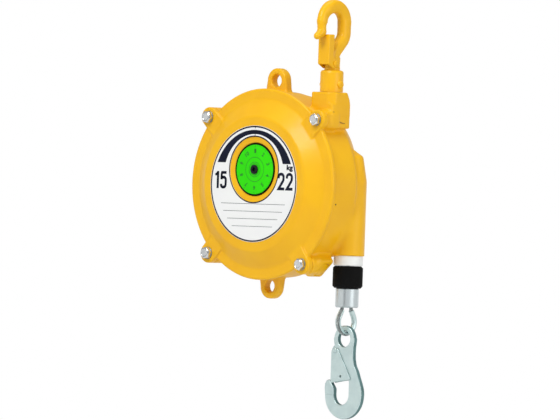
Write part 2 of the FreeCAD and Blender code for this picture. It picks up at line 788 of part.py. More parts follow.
def cover_fasteners():
    bolts, washers = [], []
    for angle in BOLT_ANGLES:
        x, z = on_circle("bolt_circle", angle)
        seat = "-lug_rise - washer_thick"
        head = hexagon("bolt_head_across", "bolt_head_high", along_y(x, f"{seat} - bolt_head_high", z))
        shank = cylinder("bolt_radius", "washer_thick + lug_rise + flange_thick + bolt_depth",
                         along_y(x, seat, z))
        bolts.append(fuse(head, shank))
        washers.append(cut(cylinder("washer_radius", "washer_thick", along_y(x, seat, z)),
                           cylinder("bolt_radius + seat_gap", "washer_thick + 2",
                                    along_y(x, f"{seat} - 1", z))))
    return [group("cover_bolts", CASING, bolts), group("cover_washers", CASING, washers)]


def nameplate():
    plate = body("nameplate", CASING)
    drawing = sketch(plate, "XZ_Plane", "face_height")
    circle(drawing, "plate_radius")
    circle(drawing, "plate_hole_radius", "0", "shaft_rise")
    pad(plate, drawing, "plate_thick")
    return plate


def rear_cap():
    inner, floor = "cap_bore - 2", "back_plane - wall_thick + rear_bush_long"
    return turned("rear_cap", SHAFT, [
        ("0", "boss_end + 0.5"), (inner, "boss_end + 0.5"), (inner, f"{floor} + face_gap"),
        ("cap_bore - seat_gap", f"{floor} + face_gap"), ("cap_bore - seat_gap", "boss_end"),
        ("boss_radius", "boss_end"), ("boss_radius", "boss_end + cap_flange - 1"),
        ("boss_radius - 1", "boss_end + cap_flange"), ("0", "boss_end + cap_flange")])


def outlet_guide():
    top = "-outlet_bottom"
    bottom = "-outlet_bottom - guide_high"
    return turned("outlet_guide", ROPE, [
        ("guide_mouth", bottom), ("guide_radius - 0.6", bottom), ("guide_radius", f"{bottom} + 0.6"),
        ("guide_radius", top), ("channel_radius - seat_gap", top),
        ("channel_radius - seat_gap", f"{top} + guide_spigot"), ("guide_mouth", f"{top} + guide_spigot"),
        ("guide_bore", f"{top} + guide_spigot - 4"), ("guide_bore", f"{bottom} + 4")], "Z")


# ---------------------------------------------------------------- main shaft

def main_shaft():
    nose, tail = "-well_floor - face_gap", "back_plane - wall_thick + rear_bush_long + ring_thick + 2"
    shaft = body("main_shaft", SHAFT)
    groove_floor = "shaft_radius - ring_groove"
    front_ring, back_ring = ring_places()
    outline = [
        ("0", nose), ("shaft_radius", nose), ("shaft_radius", front_ring), (groove_floor, front_ring),
        (groove_floor, f"{front_ring} + ring_thick"), ("shaft_radius", f"{front_ring} + ring_thick"),
        ("shaft_radius", back_ring), (groove_floor, back_ring), (groove_floor, f"{back_ring} + ring_thick"),
        ("shaft_radius", f"{back_ring} + ring_thick"), ("shaft_radius", tail), ("0", tail)]
    revolve(shaft, polygon(sketch(shaft, "XY_Plane"), outline))
    pocket(shaft, circle(sketch(shaft, "XZ_Plane", "well_floor + 1"), "dial_screw_radius + seat_gap"),
           "dial_screw_deep + 2")
    for start, length in key_places():
        keyway = box_points("-key_wide / 2", "key_wide / 2", start, f"{start} + {length}")
        pocket(shaft, polygon(sketch(shaft, "XY_Plane", "shaft_radius + 1"), keyway), "key_sunk + 1")
    return shaft


def key_places():
    """Start and length of the keys that hold the worm wheel and the spring's arbor."""
    return ("worm_y - gear_wide / 2", "gear_wide"), ("spring_front + 2", "(spring_wide - 8)")


def ring_places():
    """Where the retaining rings' grooves start: behind the cover's hub and behind the rear bush."""
    return "hub_end + face_gap", "back_plane - wall_thick + rear_bush_long + face_gap"


def retaining_rings():
    rings = []
    for start in ring_places():
        disc = cylinder("ring_outer", "ring_thick - 2 * seat_gap", along_y(y=f"{start} + seat_gap"))
        hole = cylinder("shaft_radius - ring_groove + seat_gap", "ring_thick + 2", along_y(y=f"{start} - 1"))
        mouth = block("shaft_radius", "ring_thick + 2", "ring_outer",
                      at("-shaft_radius / 2", f"{start} - 1", "-ring_outer"))
        rings.append(cut(cut(disc, hole), mouth))
    return group("retaining_rings", SHAFT, rings)


def shaft_keys():
    keys = [block("key_wide - 2 * seat_gap", f"{length} - 2 * seat_gap", "key_sunk * 2 - 0.4",
                  at("seat_gap - key_wide / 2", f"{start} + seat_gap", "shaft_radius - key_sunk"))
            for start, length in key_places()]
    return group("shaft_keys", SHAFT, keys)


def tension_dial():
    front = "dial_recess - face_height"
    back = f"{front} + dial_thick"
    return turned("tension_dial", SHAFT, [
        ("dial_screw_radius + seat_gap", front), ("dial_radius - 0.4", front),
        ("dial_radius", f"{front} + 0.4"), ("dial_radius", back), ("dial_hub_radius", back),
        ("dial_hub_radius", "-well_floor - face_gap"),
        ("dial_screw_radius + seat_gap", "-well_floor - face_gap")])


def dial_screw():
    front = "dial_recess - face_height"
    head = cylinder("dial_screw_head", "dial_screw_head_high", along_y(y=f"{front} - dial_screw_head_high"))
    shank = cylinder("dial_screw_radius", "dial_screw_deep", along_y(y=f"{front} - 0.1"))
    socket = hexagon("dial_socket_across", "dial_screw_head_high + 1.5",
                     along_y(y=f"{front} - dial_screw_head_high - 0.5"))
    return finished("dial_screw", SHAFT, cut(fuse(head, shank), socket))


def tooth_space(thick, radius):
    """Half the angle of a tooth whose thickness is given at a radius, in degrees."""
    return math.degrees(num(thick) / 2 / radius)


def worm_wheel():
    """Wheel with teeth twisted to the worm's lead; a tooth space faces the worm."""
    teeth = round(num("gear_teeth"))
    pitch_radius = num("gear_module * gear_teeth / 2")
    stations = [
        (pitch_radius - num("tooth_root"), "tooth_thick_root"), (pitch_radius, "tooth_thick"),
        (pitch_radius + num("tooth_tip"), "tooth_thick_tip")]
    flank = [(radius, -tooth_space(thick, radius)) for radius, thick in stations]
    flank += [(radius, tooth_space(thick, radius)) for radius, thick in reversed(stations)]
    towards_worm = 180 + num("worm_angle")
    lead = num("gear_module / (2 * worm_pitch_radius)")
    half = num("gear_wide / 2")

    def outline(offset):
        shift = math.degrees(offset * lead / pitch_radius)
        corners = []
        for tooth in range(teeth):
            middle = towards_worm + (tooth + 0.5) * 360 / teeth + shift
            for radius, angle in flank:
                around = math.radians(middle + angle)
                corners.append(V(radius * math.sin(around), num("worm_y") + offset,
                                 radius * math.cos(around)))
        return Part.makePolygon(corners + corners[:1])

    gear = Part.makeLoft([outline(-half), outline(half)], True, True)
    start = V(0, num("worm_y") - half - 1, 0)
    bore = Part.makeCylinder(num("shaft_radius + seat_gap"), 2 * half + 2, start, Y_AXIS)
    slot = Part.makeBox(num("key_wide"), 2 * half + 2, num("2 * key_sunk"))
    slot.translate(start + V(-num("key_wide") / 2, 0, num("shaft_radius - key_sunk")))
    return shaped("worm_wheel", SHAFT, gear.cut(bore).cut(slot))


def spring_arbor():
    front, back = bearing_places()
    arbor = body("spring_arbor", SHAFT)
    outline = box_points("shaft_radius + seat_gap", "arbor_radius", f"{front} + bearing_wide + face_gap",
                         f"{back} - face_gap")
    revolve(arbor, polygon(sketch(arbor, "XY_Plane"), outline))
    # the slit for the spring's inner end, and the keyway
    slit = box_points("arbor_radius - spring_tab", "arbor_radius + 1", "-spring_sheet - face_gap", "face_gap")
    pocket(arbor, polygon(sketch(arbor, "XZ_Plane"), slit), "back_plane")
    keyway = box_points("-key_wide / 2", "key_wide / 2", "0", "shaft_radius + key_sunk")
    pocket(arbor, polygon(sketch(arbor, "XZ_Plane"), keyway), "back_plane")
    return arbor


def bearing_places():
    """Front faces of the drum's two bearings."""
    return "cavity_front - bearing_wide - 0.2", "drum_back + 0.6 - bearing_wide"


def bearing_rings():
    inner, outer, balls = [], [], []
    for number, start in enumerate(bearing_places()):
        middle = f"{start} + bearing_wide / 2"
        for rings, low, high in (
                (inner, "shaft_radius + seat_gap", "shaft_radius + race_wall"),
                (outer, "bearing_outer - race_wall", "bearing_outer - seat_gap")):
            blank = cut(cylinder(high, "bearing_wide", along_y(y=start)),
                        cylinder(low, "bearing_wide + 2", along_y(y=f"{start} - 1")))
            race = solid("Torus", {"Radius1": "bearing_pitch", "Radius2": "ball_radius + running_gap"},
                         along_y(y=middle))
            rings.append(cut(blank, race))
        count = round(num("ball_count"))
        for ball in range(count):
            angle = f"{ball} * 360 / ball_count"
            balls.append(solid("Sphere", {"Radius": "ball_radius"},
                               at(f"bearing_pitch * cos({angle})", middle, f"bearing_pitch * sin({angle})")))
    return [group("bearing_inner_rings", SHAFT, inner), group("bearing_outer_rings", SHAFT, outer),
            group("bearing_balls", SHAFT, balls)]


def shaft_spacers():
    ring_front, _ = ring_places()
    bearing_front, _ = bearing_places()
    spacers = []
    for start, end in ((f"({ring_front} + ring_thick - seat_gap)", "(worm_y - gear_wide / 2)"),
                       ("(worm_y + gear_wide / 2)", f"({bearing_front})")):
        spacers.append(cut(
            cylinder("shaft_radius + bush_wall", f"{end} - {start}", along_y(y=start)),
            cylinder("shaft_radius + seat_gap", f"{end} - {start} + 2", along_y(y=f"{start} - 1"))))
    return group("shaft_spacers", SHAFT, spacers)


# ---------------------------------------------------------------- worm

def worm():
    core = [
        ("0", "-worm_tail"), ("worm_tail_radius", "-worm_tail"),
        ("worm_tail_radius", "-cradle_at + cradle_thick / 2 + face_gap"),
        ("worm_pitch_radius - tooth_root", "-cradle_at + cradle_thick / 2 + face_gap"),
        ("worm_pitch_radius - tooth_root", "thread_long / 2 + 1"),
        ("worm_stem_radius", "thread_long / 2 + 2"),
        ("worm_stem_radius", "worm_end"), ("0", "worm_end")]
    shaft = turned("worm_core", FreeCAD.Placement(), core, "Z")
    socket = hexagon("worm_socket_across", "worm_socket_deep + 1", at(z="worm_end - worm_socket_deep"))
    base = cut(shaft, socket)
    doc.recompute()
    # thread: one start, its crest facing the wheel in the middle of the mesh
    pitch = num("gear_module") * math.pi
    turns = round(num("thread_long") / pitch)
    low = -turns * pitch / 2
    helix = Part.makeHelix(pitch, turns * pitch, num("worm_pitch_radius"))
    sunk = num("tooth_root") + 0.3
    section = [
        (-sunk, num("tooth_thick_root") / 2), (num("tooth_tip"), num("tooth_thick_tip") / 2),
        (num("tooth_tip"), -num("tooth_thick_tip") / 2), (-sunk, -num("tooth_thick_root") / 2)]
    corners = [V(num("worm_pitch_radius") + out, 0, along) for out, along in section]
    thread = Part.Wire([helix]).makePipeShell([Part.makePolygon(corners + corners[:1])], True, True)
    thread.translate(V(0, 0, low))
    thread.rotate(V(), Z_AXIS, 180 * (1 + turns % 2))
    return shaped("worm", WORM, base.Shape.fuse(thread))


def worm_plug():
    start = "worm_boss_end + plug_dome - plug_long"
    plug = "worm_bore - seat_gap"
    return turned("worm_plug", WORM, [
        ("0", start), (plug, start), (plug, "worm_boss_end + plug_dome / 2"),
        (f"{plug} - 1.5", "worm_boss_end + plug_dome"), ("0", "worm_boss_end + plug_dome")], "Z")


# ---------------------------------------------------------------- drum

def turn_places():
    """Radius and place along the shaft of each turn of rope, from the resting turn to the front."""
    for turn in range(round(num("turn_count"))):
        yield f"(turn_radius + {turn} * turn_rise)", f"(rope_y - {turn} * turn_pitch)"


def drum():
    slope = "turn_rise / turn_pitch"
    rim_front = "drum_front + drum_flange_thick"
    rim_back = "rope_y + turn_pitch / 2"
    made = body("drum", SHAFT)
    outline = [
        ("cover_seat_radius", "drum_front"), ("drum_flange_radius", "drum_front"),
        ("drum_flange_radius", rim_front),
        (f"turn_radius - land_below + (rope_y - {rim_front}) * {slope}", rim_front),
        (f"turn_radius - land_below + (rope_y - ({rim_back})) * {slope}", rim_back),
        ("lip_radius", rim_back), ("lip_radius", "lip_end"), ("drum_back_radius + 2", "drum_back - 2"),
        ("drum_back_radius", "drum_back"), ("web_boss_radius + 1", "drum_back"),
        ("web_boss_radius + 1", "drum_back + 0.8"), ("bearing_outer", "drum_back + 0.8"),
        ("bearing_outer", "cavity_back - web_boss_high"), ("web_boss_radius", "cavity_back - web_boss_high"),
        ("web_boss_radius", "cavity_back"), ("cavity_radius", "cavity_back"),
        ("cavity_radius", "cavity_front"), ("cover_seat_radius", "cavity_front")]
    revolve(made, polygon(sketch(made, "XY_Plane"), outline))
    for radius, place in turn_places():
        groove(made, circle(sketch(made, "XY_Plane"), "rope_radius + rope_fit", radius, place))
    for screw in range(round(num("cover_screw_count"))):
        x, z = on_circle("cover_screw_circle", f"{screw} * 360 / cover_screw_count")
        face = sketch(made, "XZ_Plane", "1 - cavity_front")
        pocket(made, circle(face, "cover_screw_radius + seat_gap", x, z),
               "cover_screw_long - drum_cover_thick + 2")
    x, z = on_circle("(cover_seat_radius + drum_flange_radius) / 2", "-120")
    pocket(made, circle(sketch(made, "XZ_Plane", "1 - drum_front"), "rope_radius + seat_gap", x, z),
           "drum_flange_thick + 2")
    return made


def drum_cover():
    made = body("drum_cover", SHAFT)
    front = "cavity_front - drum_cover_thick"
    outline = [
        ("bearing_outer", f"{front} - 3.3"), ("cover_boss_radius", f"{front} - 3.3"),
        ("cover_boss_radius", front), ("cover_seat_radius - seat_gap", front),
        ("cover_seat_radius - seat_gap", "cavity_front"), ("bearing_outer", "cavity_front")]
    revolve(made, polygon(sketch(made, "XY_Plane"), outline))
    for screw in range(round(num("cover_screw_count"))):
        x, z = on_circle("cover_screw_circle", f"{screw} * 360 / cover_screw_count")
        face = sketch(made, "XZ_Plane", f"1 - ({front})")
        pocket(made, circle(face, "cover_screw_radius + seat_gap", x, z),
               "drum_cover_thick + 2")
    return made


def drum_fasteners():
    front = "cavity_front - drum_cover_thick"
    screws = []
    for screw in range(round(num("cover_screw_count"))):
        x, z = on_circle("cover_screw_circle", f"{screw} * 360 / cover_screw_count")
        head = cylinder("cover_screw_head", "1.6", along_y(x, f"{front} - 1.6", z))
        screws.append(fuse(head, cylinder("cover_screw_radius", "cover_screw_long", along_y(x, front, z))))
    x, z = on_circle("(cover_seat_radius + drum_flange_radius) / 2", "-120")
    anchor = fuse(
        cylinder("rope_radius + 1.5", "1.4", along_y(x, "drum_front - 1.4 - seat_gap", z)),
        cylinder("rope_radius", "drum_flange_thick", along_y(x, "drum_front - 0.5", z)))
    return [group("drum_cover_screws", SHAFT, screws), finished("rope_anchor", SHAFT, anchor)]


def main_spring():
    """A flat spiral of half circles; its inner end is bent into the arbor's slit, the outer end out."""
    sheet_thick, step = num("spring_sheet"), num("spring_pitch / 2")
    start, front = num("spring_inner"), num("spring_front")
    count = round(num("spring_half_turns"))

    def side(offset):
        edges = []
        for half in range(count):
            way = 1 if half % 2 == 0 else -1
            centre = 0.0 if half % 2 == 0 else step
            radius = start + half * step + offset
            edges.append(Part.Arc(V(centre + way * radius, front, 0), V(centre, front, way * radius),
                                  V(centre - way * radius, front, 0)).toShape())
        return edges

    def line(x0, z0, x1, z1):
        return Part.LineSegment(V(x0, front, z0), V(x1, front, z1)).toShape()

    last = start + (count - 1) * step
    tip = start - num("spring_tab") + 0.5
    tail = last + sheet_thick + num("spring_tail")
    inner_end = [line(start, 0, tip, 0), line(tip, 0, tip, -sheet_thick),
                 line(tip, -sheet_thick, start + sheet_thick, -sheet_thick),
                 line(start + sheet_thick, -sheet_thick, start + sheet_thick, 0)]
    outer_end = [line(-last, 0, -last, -sheet_thick), line(-last, -sheet_thick, -tail, -sheet_thick),
                 line(-tail, -sheet_thick, -tail, 0), line(-tail, 0, -last - sheet_thick, 0)]
    rim = Part.Wire(Part.__sortEdges__(side(0.0) + side(sheet_thick) + inner_end + outer_end))
    return shaped("main_spring", SHAFT, Part.Face(rim).extrude(V(0, num("spring_wide"), 0)))


def spring_anchor():
    """Block on the drum's wall that grips the spring's outer end."""
    inner = "(spring_inner + (spring_half_turns - 1) * spring_pitch / 2 + spring_sheet + face_gap)"
    blank = block(f"cavity_radius - {inner}", "spring_wide - 1", "anchor_high",
                  at("-cavity_radius", "spring_front + 0.5", "-anchor_high / 2"))
    slot = block("spring_tail", "spring_wide + 2", "spring_sheet",
                 at(f"face_gap - {inner} - spring_tail", "spring_front - 1", "-spring_sheet"))
    wall = cut(cylinder("2 * cavity_radius", "spring_wide + 2", along_y(y="spring_front - 1")),
               cylinder("cavity_radius", "spring_wide + 4", along_y(y="spring_front - 2")))
    return finished("spring_anchor", SHAFT, cut(cut(blank, slot), wall))


# ---------------------------------------------------------------- rope

FERRULE_TOP = "(outlet_bottom + guide_high + face_gap + stopper_high)"
ROPE_LEAVES = ("(acos(turn_radius / sqrt(rope_x^2 + (rope_bend_drop + shaft_rise)^2))"
               " - atan((rope_bend_drop + shaft_rise) / rope_x))")


def rope_turns():
    """The rope on the drum; each turn beyond the resting one is drawn as a ring."""
    rings = []
    for turn, (radius, place) in enumerate(turn_places()):
        start, sweep = "0", "360"
        if turn == 0:
            start = f"({ROPE_LEAVES} + face_gap / turn_radius * 180 / pi * 1 deg)"
            sweep = f"rope_wound_to * 1 deg - {start}"
        upright = FreeCAD.Rotation(X_AXIS, 90) * FreeCAD.Rotation(Z_AXIS, num(start))
        rings.append(solid("Torus", {"Radius1": radius, "Radius2": "rope_radius", "Angle3": sweep},
                           at(y=place, turn=upright)))
    return group("rope_turns", SHAFT, rings)


def wire_rope():
    """The run from the drum's tangent point through the guide and stopper into the ferrule."""
    lift = math.radians(num(ROPE_LEAVES))
    radius, y = num("turn_radius"), num("rope_y")
    leaves = V(radius * math.cos(lift), y, num("shaft_rise") + radius * math.sin(lift))
    bend = V(num("rope_x"), y, -num("rope_bend_drop"))
    end = V(num("rope_x"), y, -num(f"{FERRULE_TOP} + ferrule_top_bore - seat_gap"))
    path = run([leaves, bend, end], [num("rope_bend")])
    section = round_section(leaves, bend - leaves, num("rope_radius"))
    return shaped("wire_rope", CASING, swept(path, section))


def rope_stopper():
    top, bottom = "-(outlet_bottom + guide_high + face_gap)", f"-{FERRULE_TOP}"
    bevel = "stopper_chamfer"
    return turned("rope_stopper", ROPE, [
        ("rope_radius + seat_gap", top), (f"stopper_radius - {bevel}", top),
        ("stopper_radius", f"{top} - {bevel}"), ("stopper_radius", f"{bottom} + {bevel}"),
        (f"stopper_radius - {bevel}", bottom), ("rope_radius + seat_gap", bottom)], "Z")


def ferrule():
    top = f"-{FERRULE_TOP}"
    bottom = f"{top} - ferrule_high"
    made = turned("ferrule", ROPE, [
        ("0", top), ("ferrule_radius - 1", top), ("ferrule_radius", f"{top} - 1"),
        ("ferrule_radius", f"{bottom} + 1.5"), ("ferrule_radius - 1.5", bottom), ("0", bottom)], "Z")
    pocket(made, circle(sketch(made, "XY_Plane", f"{top} + 1"), "rope_radius + seat_gap"),
           "ferrule_top_bore + 1")
    deep = "ferrule_high - ferrule_top_bore - ferrule_floor"
    for side in ("", "-"):
        drawing = circle(sketch(made, "XY_Plane", f"{bottom} - 1"), "rope_radius + seat_gap", "0",
                         f"{side}eye_leg")
        pocket(made, drawing, f"{deep} + 1", True)
    return made


def eye_path(reach):
    """The eye's loop in the YZ plane about the rope's lowest centre, with legs up into the ferrule."""
    radius, leg, bend = num("eye_radius"), num("eye_leg"), num("eye_bend")
    crook = num("eye_drop") - 2.0
    centre = V(0, 0, radius)
    out = V(0, leg, crook) - centre
    angle = math.atan2(out.z, out.y) - math.acos(radius / out.Length)
    touch = centre + V(0, math.cos(angle), math.sin(angle)) * radius
    top = V(0, leg, num("eye_drop") + reach)
    near = run([top, V(0, leg, crook), touch], [bend]).Edges

    def other(point):
        return V(0, -point.y, point.z)

    far = run([other(touch), other(V(0, leg, crook)), other(top)], [bend]).Edges
    return near, Part.Arc(touch, V(), other(touch)).toShape(), far, touch


def rope_eye():
    deep = num("ferrule_high - ferrule_top_bore - ferrule_floor") - num("seat_gap")
    near, loop, far, _ = eye_path(deep)
    top = near[0].Vertexes[0].Point
    section = round_section(V(*top), Z_AXIS, num("rope_radius"))
    return shaped("rope_eye", EYE, swept(Part.Wire(near + [loop] + far), section))


def thimble():
    """Grooved liner inside the rope's eye."""
    _, loop, _, touch = eye_path(0.0)
    centre = V(0, 0, num("eye_radius"))
    along = X_AXIS.cross(touch - centre).normalize()
    if along.z < 0:
        along = along * -1.0
    start = touch + along * num("thimble_leg")
    path = Part.Wire([
        Part.LineSegment(start, touch).toShape(), loop,
        Part.LineSegment(V(0, -touch.y, touch.z), V(0, -start.y, start.z)).toShape()])
    outward = (touch - centre).normalize()
    inner, outer = num("rope_radius + rope_fit"), num(THIMBLE)

    def point(radius, degrees):
        """A point of the section; 0 degrees looks into the loop."""
        turn = math.radians(degrees)
        return start - outward * (radius * math.cos(turn)) + X_AXIS * (radius * math.sin(turn))

    spread = num("thimble_spread")
    section = Part.Wire([
        Part.Arc(point(outer, -spread), point(outer, 0), point(outer, spread)).toShape(),
        Part.LineSegment(point(outer, spread), point(inner, spread)).toShape(),
        Part.Arc(point(inner, spread), point(inner, 0), point(inner, -spread)).toShape(),
        Part.LineSegment(point(inner, -spread), point(outer, -spread)).toShape()])
    return shaped("thimble", EYE, swept(path, section))


# ---------------------------------------------------------------- lower hook

def lower_hook():
    hook = body("lower_hook", LOWER)
    thick = "2 * plate_half"

    def plate(drawing):
        pad(hook, drawing, thick, True)

    def drawing():
        return sketch(hook, "XZ_Plane", "plate_half")

    plate(circle(drawing(), "eye_outer"))
    slot_edge = "slot_x + slot_radius"
    plate(polygon(drawing(), [
        ("-eye_outer", "0"), ("rivet_x", "-rivet_z - lug_round"), ("throat_x", "-gate_top"),
        (slot_edge, "-limb_bend"), (slot_edge, "-slot_z"), ("bowl_x + bowl_outer", "-bowl_z"),
        ("bowl_x + bowl_outer * 0.98", "-bowl_z * 0.9"), ("limb_out_low", "-bowl_z * 0.79"),
        ("limb_out_mid", "-nose_top + 3.6"), ("limb_out_high", "-nose_top + 10.8"),
        ("neck_out", "-nose_top + 18"), ("eye_outer * 0.987", "-gate_top - 2.5"),
        ("eye_outer * 0.962", "-gate_top + 4.5"), ("eye_outer", "0")]))
    plate(circle(drawing(), "bowl_outer", "bowl_x", "-bowl_z"))
    plate(circle(drawing(), "lug_round", "rivet_x", "-rivet_z"))
    far = "-2 * bowl_outer"
    pocket(hook, polygon(sketch(hook, "XZ_Plane", "plate_half + 1"), [
        (slot_edge, "-slot_z"), (slot_edge, "-limb_bend"), ("throat_x", "-gate_top"), (far, "-gate_top"),
        (far, "-bowl_z"), ("slot_x - slot_radius", "-bowl_z"), ("slot_x - slot_radius", "-slot_z")]),
        f"{thick} + 2")
    tip = "bowl_x - bowl_outer"
    plate(polygon(drawing(), [
        (tip, "-bowl_z"), (f"{tip} - 0.9", "-bowl_z + 7"), (f"{tip} - 0.4", "-nose_top - 5"),
        (f"{tip} + 1.7", "-nose_top - 1.5"), (f"{tip} + 4.5", "-nose_top"),
        (f"{tip} + 7.2", "-nose_top - 0.8"), ("slot_x - slot_radius", "-nose_top - 10.5"),
        ("slot_x - slot_radius", "-slot_z")]))
    for radius, x, z in (("slot_radius", "slot_x", "-slot_z"), ("eye_hole", "0", "0"),
                         ("rivet_radius + seat_gap", "rivet_x", "-rivet_z")):
        pocket(hook, circle(sketch(hook, "XZ_Plane", "plate_half + 1"), radius, x, z), f"{thick} + 2")
    return hook


def lower_latch():
    latch = body("lower_latch", LOWER)
    outline = [
        ("gate_left", "rivet_z * -0.965"), ("rivet_x + 3.9", "-rivet_z + 3.2"), ("gate_right", "-gate_low"),
        ("-3", "-gate_low - 2.2"), ("gate_left", "-gate_low - 5.1")]
    outer = "plate_half + gate_gap + gate_sheet"
    pad(latch, polygon(sketch(latch, "XZ_Plane", outer), outline), f"2 * ({outer})", True)
    inside = [
        ("gate_left - 1", "-rivet_z + 20"), ("gate_right + 20", "-rivet_z + 20"),
        ("gate_right + 20", "-gate_low - 20"),
        ("gate_left - 1", "-gate_low - 20"), ("gate_left - 1", "-gate_low + 0.6"),
        ("gate_left + gate_sheet", "-gate_low + 0.6"), ("gate_left + gate_sheet", "-rivet_z - 4.8"),
        ("gate_left - 1", "-rivet_z - 4.8")]
    pocket(latch, polygon(sketch(latch, "XZ_Plane", "plate_half + gate_gap"), inside),
           "2 * (plate_half + gate_gap)")
    pocket(latch, circle(sketch(latch, "XZ_Plane", f"{outer} + 1"), "rivet_radius + running_gap", "rivet_x",
                         "-rivet_z"), f"2 * ({outer}) + 2")
    return latch


def headed_pin(label, frame, radius, half, head, high):
    """A pin along its own Z with a rounded head at each end."""
    edge = f"{head} - {high} * 0.5"
    return turned(label, frame, [
        ("0", f"-({half} + {high})"), (edge, f"-({half} + {high})"), (head, f"-({half} + {high} * 0.5)"),
        (head, f"-({half})"), (radius, f"-({half})"), (radius, half), (head, half),
        (head, f"{half} + {high} * 0.5"), (edge, f"{half} + {high}"), ("0", f"{half} + {high}")], "Z")


def latch_rivet():
    place = LOWER * at("rivet_x", "0", "-rivet_z", FreeCAD.Rotation(X_AXIS, 90))
    return headed_pin("latch_rivet", place, "rivet_radius", "plate_half + gate_gap + gate_sheet + face_gap",
                      "rivet_head", "rivet_head_high")


# ---------------------------------------------------------------- top hook

def link(start, end, first, last):
    """A tapered round bar between two points of the YZ plane, its ends ball shaped."""
    (y0, z0), (y1, z1) = start, end
    way = V(0, num(f"{y1} - ({y0})"), num(f"{z1} - ({z0})"))
    bar = solid("Cone", {"Radius1": first, "Radius2": last,
                         "Height": f"sqrt(({y1} - ({y0}))^2 + ({z1} - ({z0}))^2)"},
                at("0", y0, z0, FreeCAD.Rotation(Z_AXIS, way)))
    return [bar, solid("Sphere", {"Radius": last}, at("0", y1, z1))]


def top_hook():
    bend = "hook_bend"
    bow = solid("Torus", {"Radius1": bend, "Radius2": "hook_section", "Angle3": "180"},
                at(turn=FreeCAD.Rotation(V(1, 1, 1), 120)))
    shoulder, neck = "bend_top", "(neck_top - 5)"
    path = run([V(0, num(bend), 0), V(0, num(bend), -num(shoulder)), V(0, 0, -num(neck)),
                V(0, 0, -num("latch_tail + 0.9"))], [num("limb_round"), num("limb_round")])
    limb = shaped("hook_limb", FreeCAD.Placement(),
                  swept(path, round_section(V(0, num(bend), 0), Z_AXIS, num("hook_section"))))
    elbow = ("-hook_bend - 1.7", "-9")
    nose = (link((f"-{bend}", "0"), elbow, "hook_section", "nose_section")
            + link(elbow, ("-knob_y", "-knob_z"), "nose_section", "knob_radius"))
    collar = cylinder("neck_radius", "latch_tail + 0.9 - neck_top", at(z="-latch_tail - 0.9"))
    high = "bend_top + hook_bend + latch_tail + 20"
    slab = block("2 * hook_flat", "100", high, at("-hook_flat", "-50", "-latch_tail - 0.9"))
    flats = doc.addObject("Part::Common", "Flats")
    flats.Base = fuse(bow, limb, collar, *nose)
    flats.Tool = slab
    root = cylinder("neck_radius", "collar_top - latch_tail - 0.9", at(z="-collar_top"))
    shank = cylinder("shank_radius", "socket_deep - face_gap + 1",
                     at(z="face_gap - collar_top - socket_deep"))
    whole = fuse(flats, root, shank)
    across = FreeCAD.Rotation(Y_AXIS, 90)
    pin_bore = cylinder("pin_radius + seat_gap", "4 * neck_radius",
                        at("-2 * neck_radius", "0", "-collar_top - pin_below_top", across))
    latch_bore = cylinder("latch_pin_radius + seat_gap", "4 * neck_radius",
                          at("-2 * neck_radius", "-latch_pivot_y", "-latch_pivot_z", across))
    return finished("top_hook", HOOK, cut(cut(whole, pin_bore), latch_bore))


STEM_SHOULDER = "(bowl_height - pocket_top + face_gap)"
THREAD_END = f"({STEM_SHOULDER} + washer_high + nut_high + 0.5)"
COTTER = f"({STEM_SHOULDER} + washer_high + nut_high * 0.7)"


def hook_collar():
    low = "-(collar_top + collar_high)"
    made = turned("hook_collar_turned", FreeCAD.Placement(), [
        ("shank_radius + seat_gap", "-collar_top"), ("collar_radius - collar_round", "-collar_top"),
        ("collar_radius - collar_round * 0.3", "-collar_top - collar_round * 0.3"),
        ("collar_radius", "-collar_top - collar_round"), ("collar_radius", low), ("stem_radius", low),
        ("stem_radius", f"-{STEM_SHOULDER}"), ("thread_radius", f"-{STEM_SHOULDER}"),
        ("thread_radius", f"-{THREAD_END}"), ("0", f"-{THREAD_END}"), ("0", "-collar_top - socket_deep"),
        ("shank_radius + seat_gap", "-collar_top - socket_deep")], "Z")
    across = FreeCAD.Rotation(Y_AXIS, 90)
    height = "-collar_top - pin_below_top"
    pin_bore = cylinder("pin_radius + seat_gap", "4 * collar_radius",
                        at("-2 * collar_radius", "0", height, across))
    seats = fuse(pin_bore,
                 cylinder("pin_head_radius + seat_gap", "10", at("pin_seat", "0", height, across)),
                 cylinder("pin_head_radius + seat_gap", "10", at("-pin_seat - 10", "0", height, across)))
    cotter_bore = cylinder("cotter_radius + seat_gap", "4 * thread_radius",
                           at("0", "2 * thread_radius", f"-{COTTER}", FreeCAD.Rotation(X_AXIS, 90)))
    return finished("hook_collar", HOOK, cut(cut(made, seats), cotter_bore))


def hook_pin():
    place = HOOK * at(z="-collar_top - pin_below_top", turn=FreeCAD.Rotation(Y_AXIS, 90))
    return headed_pin("hook_pin", place, "pin_radius", "pin_seat", "pin_head_radius", "pin_head_high")


def stem_fasteners():
    top = f"-{STEM_SHOULDER} - washer_high"
    washer = cut(cylinder("pocket_radius - 1", "washer_high", at(z=top)),
                 cylinder("thread_radius + seat_gap", "washer_high + 2", at(z=f"{top} - 1")))
    low = f"{top} - nut_high"
    threaded = cut(hexagon("nut_across", "nut_high", at(z=low)),
                   cylinder("thread_radius + seat_gap", "nut_high + 2", at(z=f"{low} - 1")))
    nut = cut(threaded, cylinder("cotter_radius + seat_gap", "2 * nut_across",
                                 at("0", "nut_across", f"-{COTTER}", FreeCAD.Rotation(X_AXIS, 90))))
    cotter = cylinder("cotter_radius", "nut_across + 2",
                      at("0", "nut_across / 2 + 1", f"-{COTTER}", FreeCAD.Rotation(X_AXIS, 90)))
    return [finished("thrust_washer", HOOK, washer), finished("stem_nut", HOOK, nut),
            group("nut_cotter", HOOK, [cotter])]


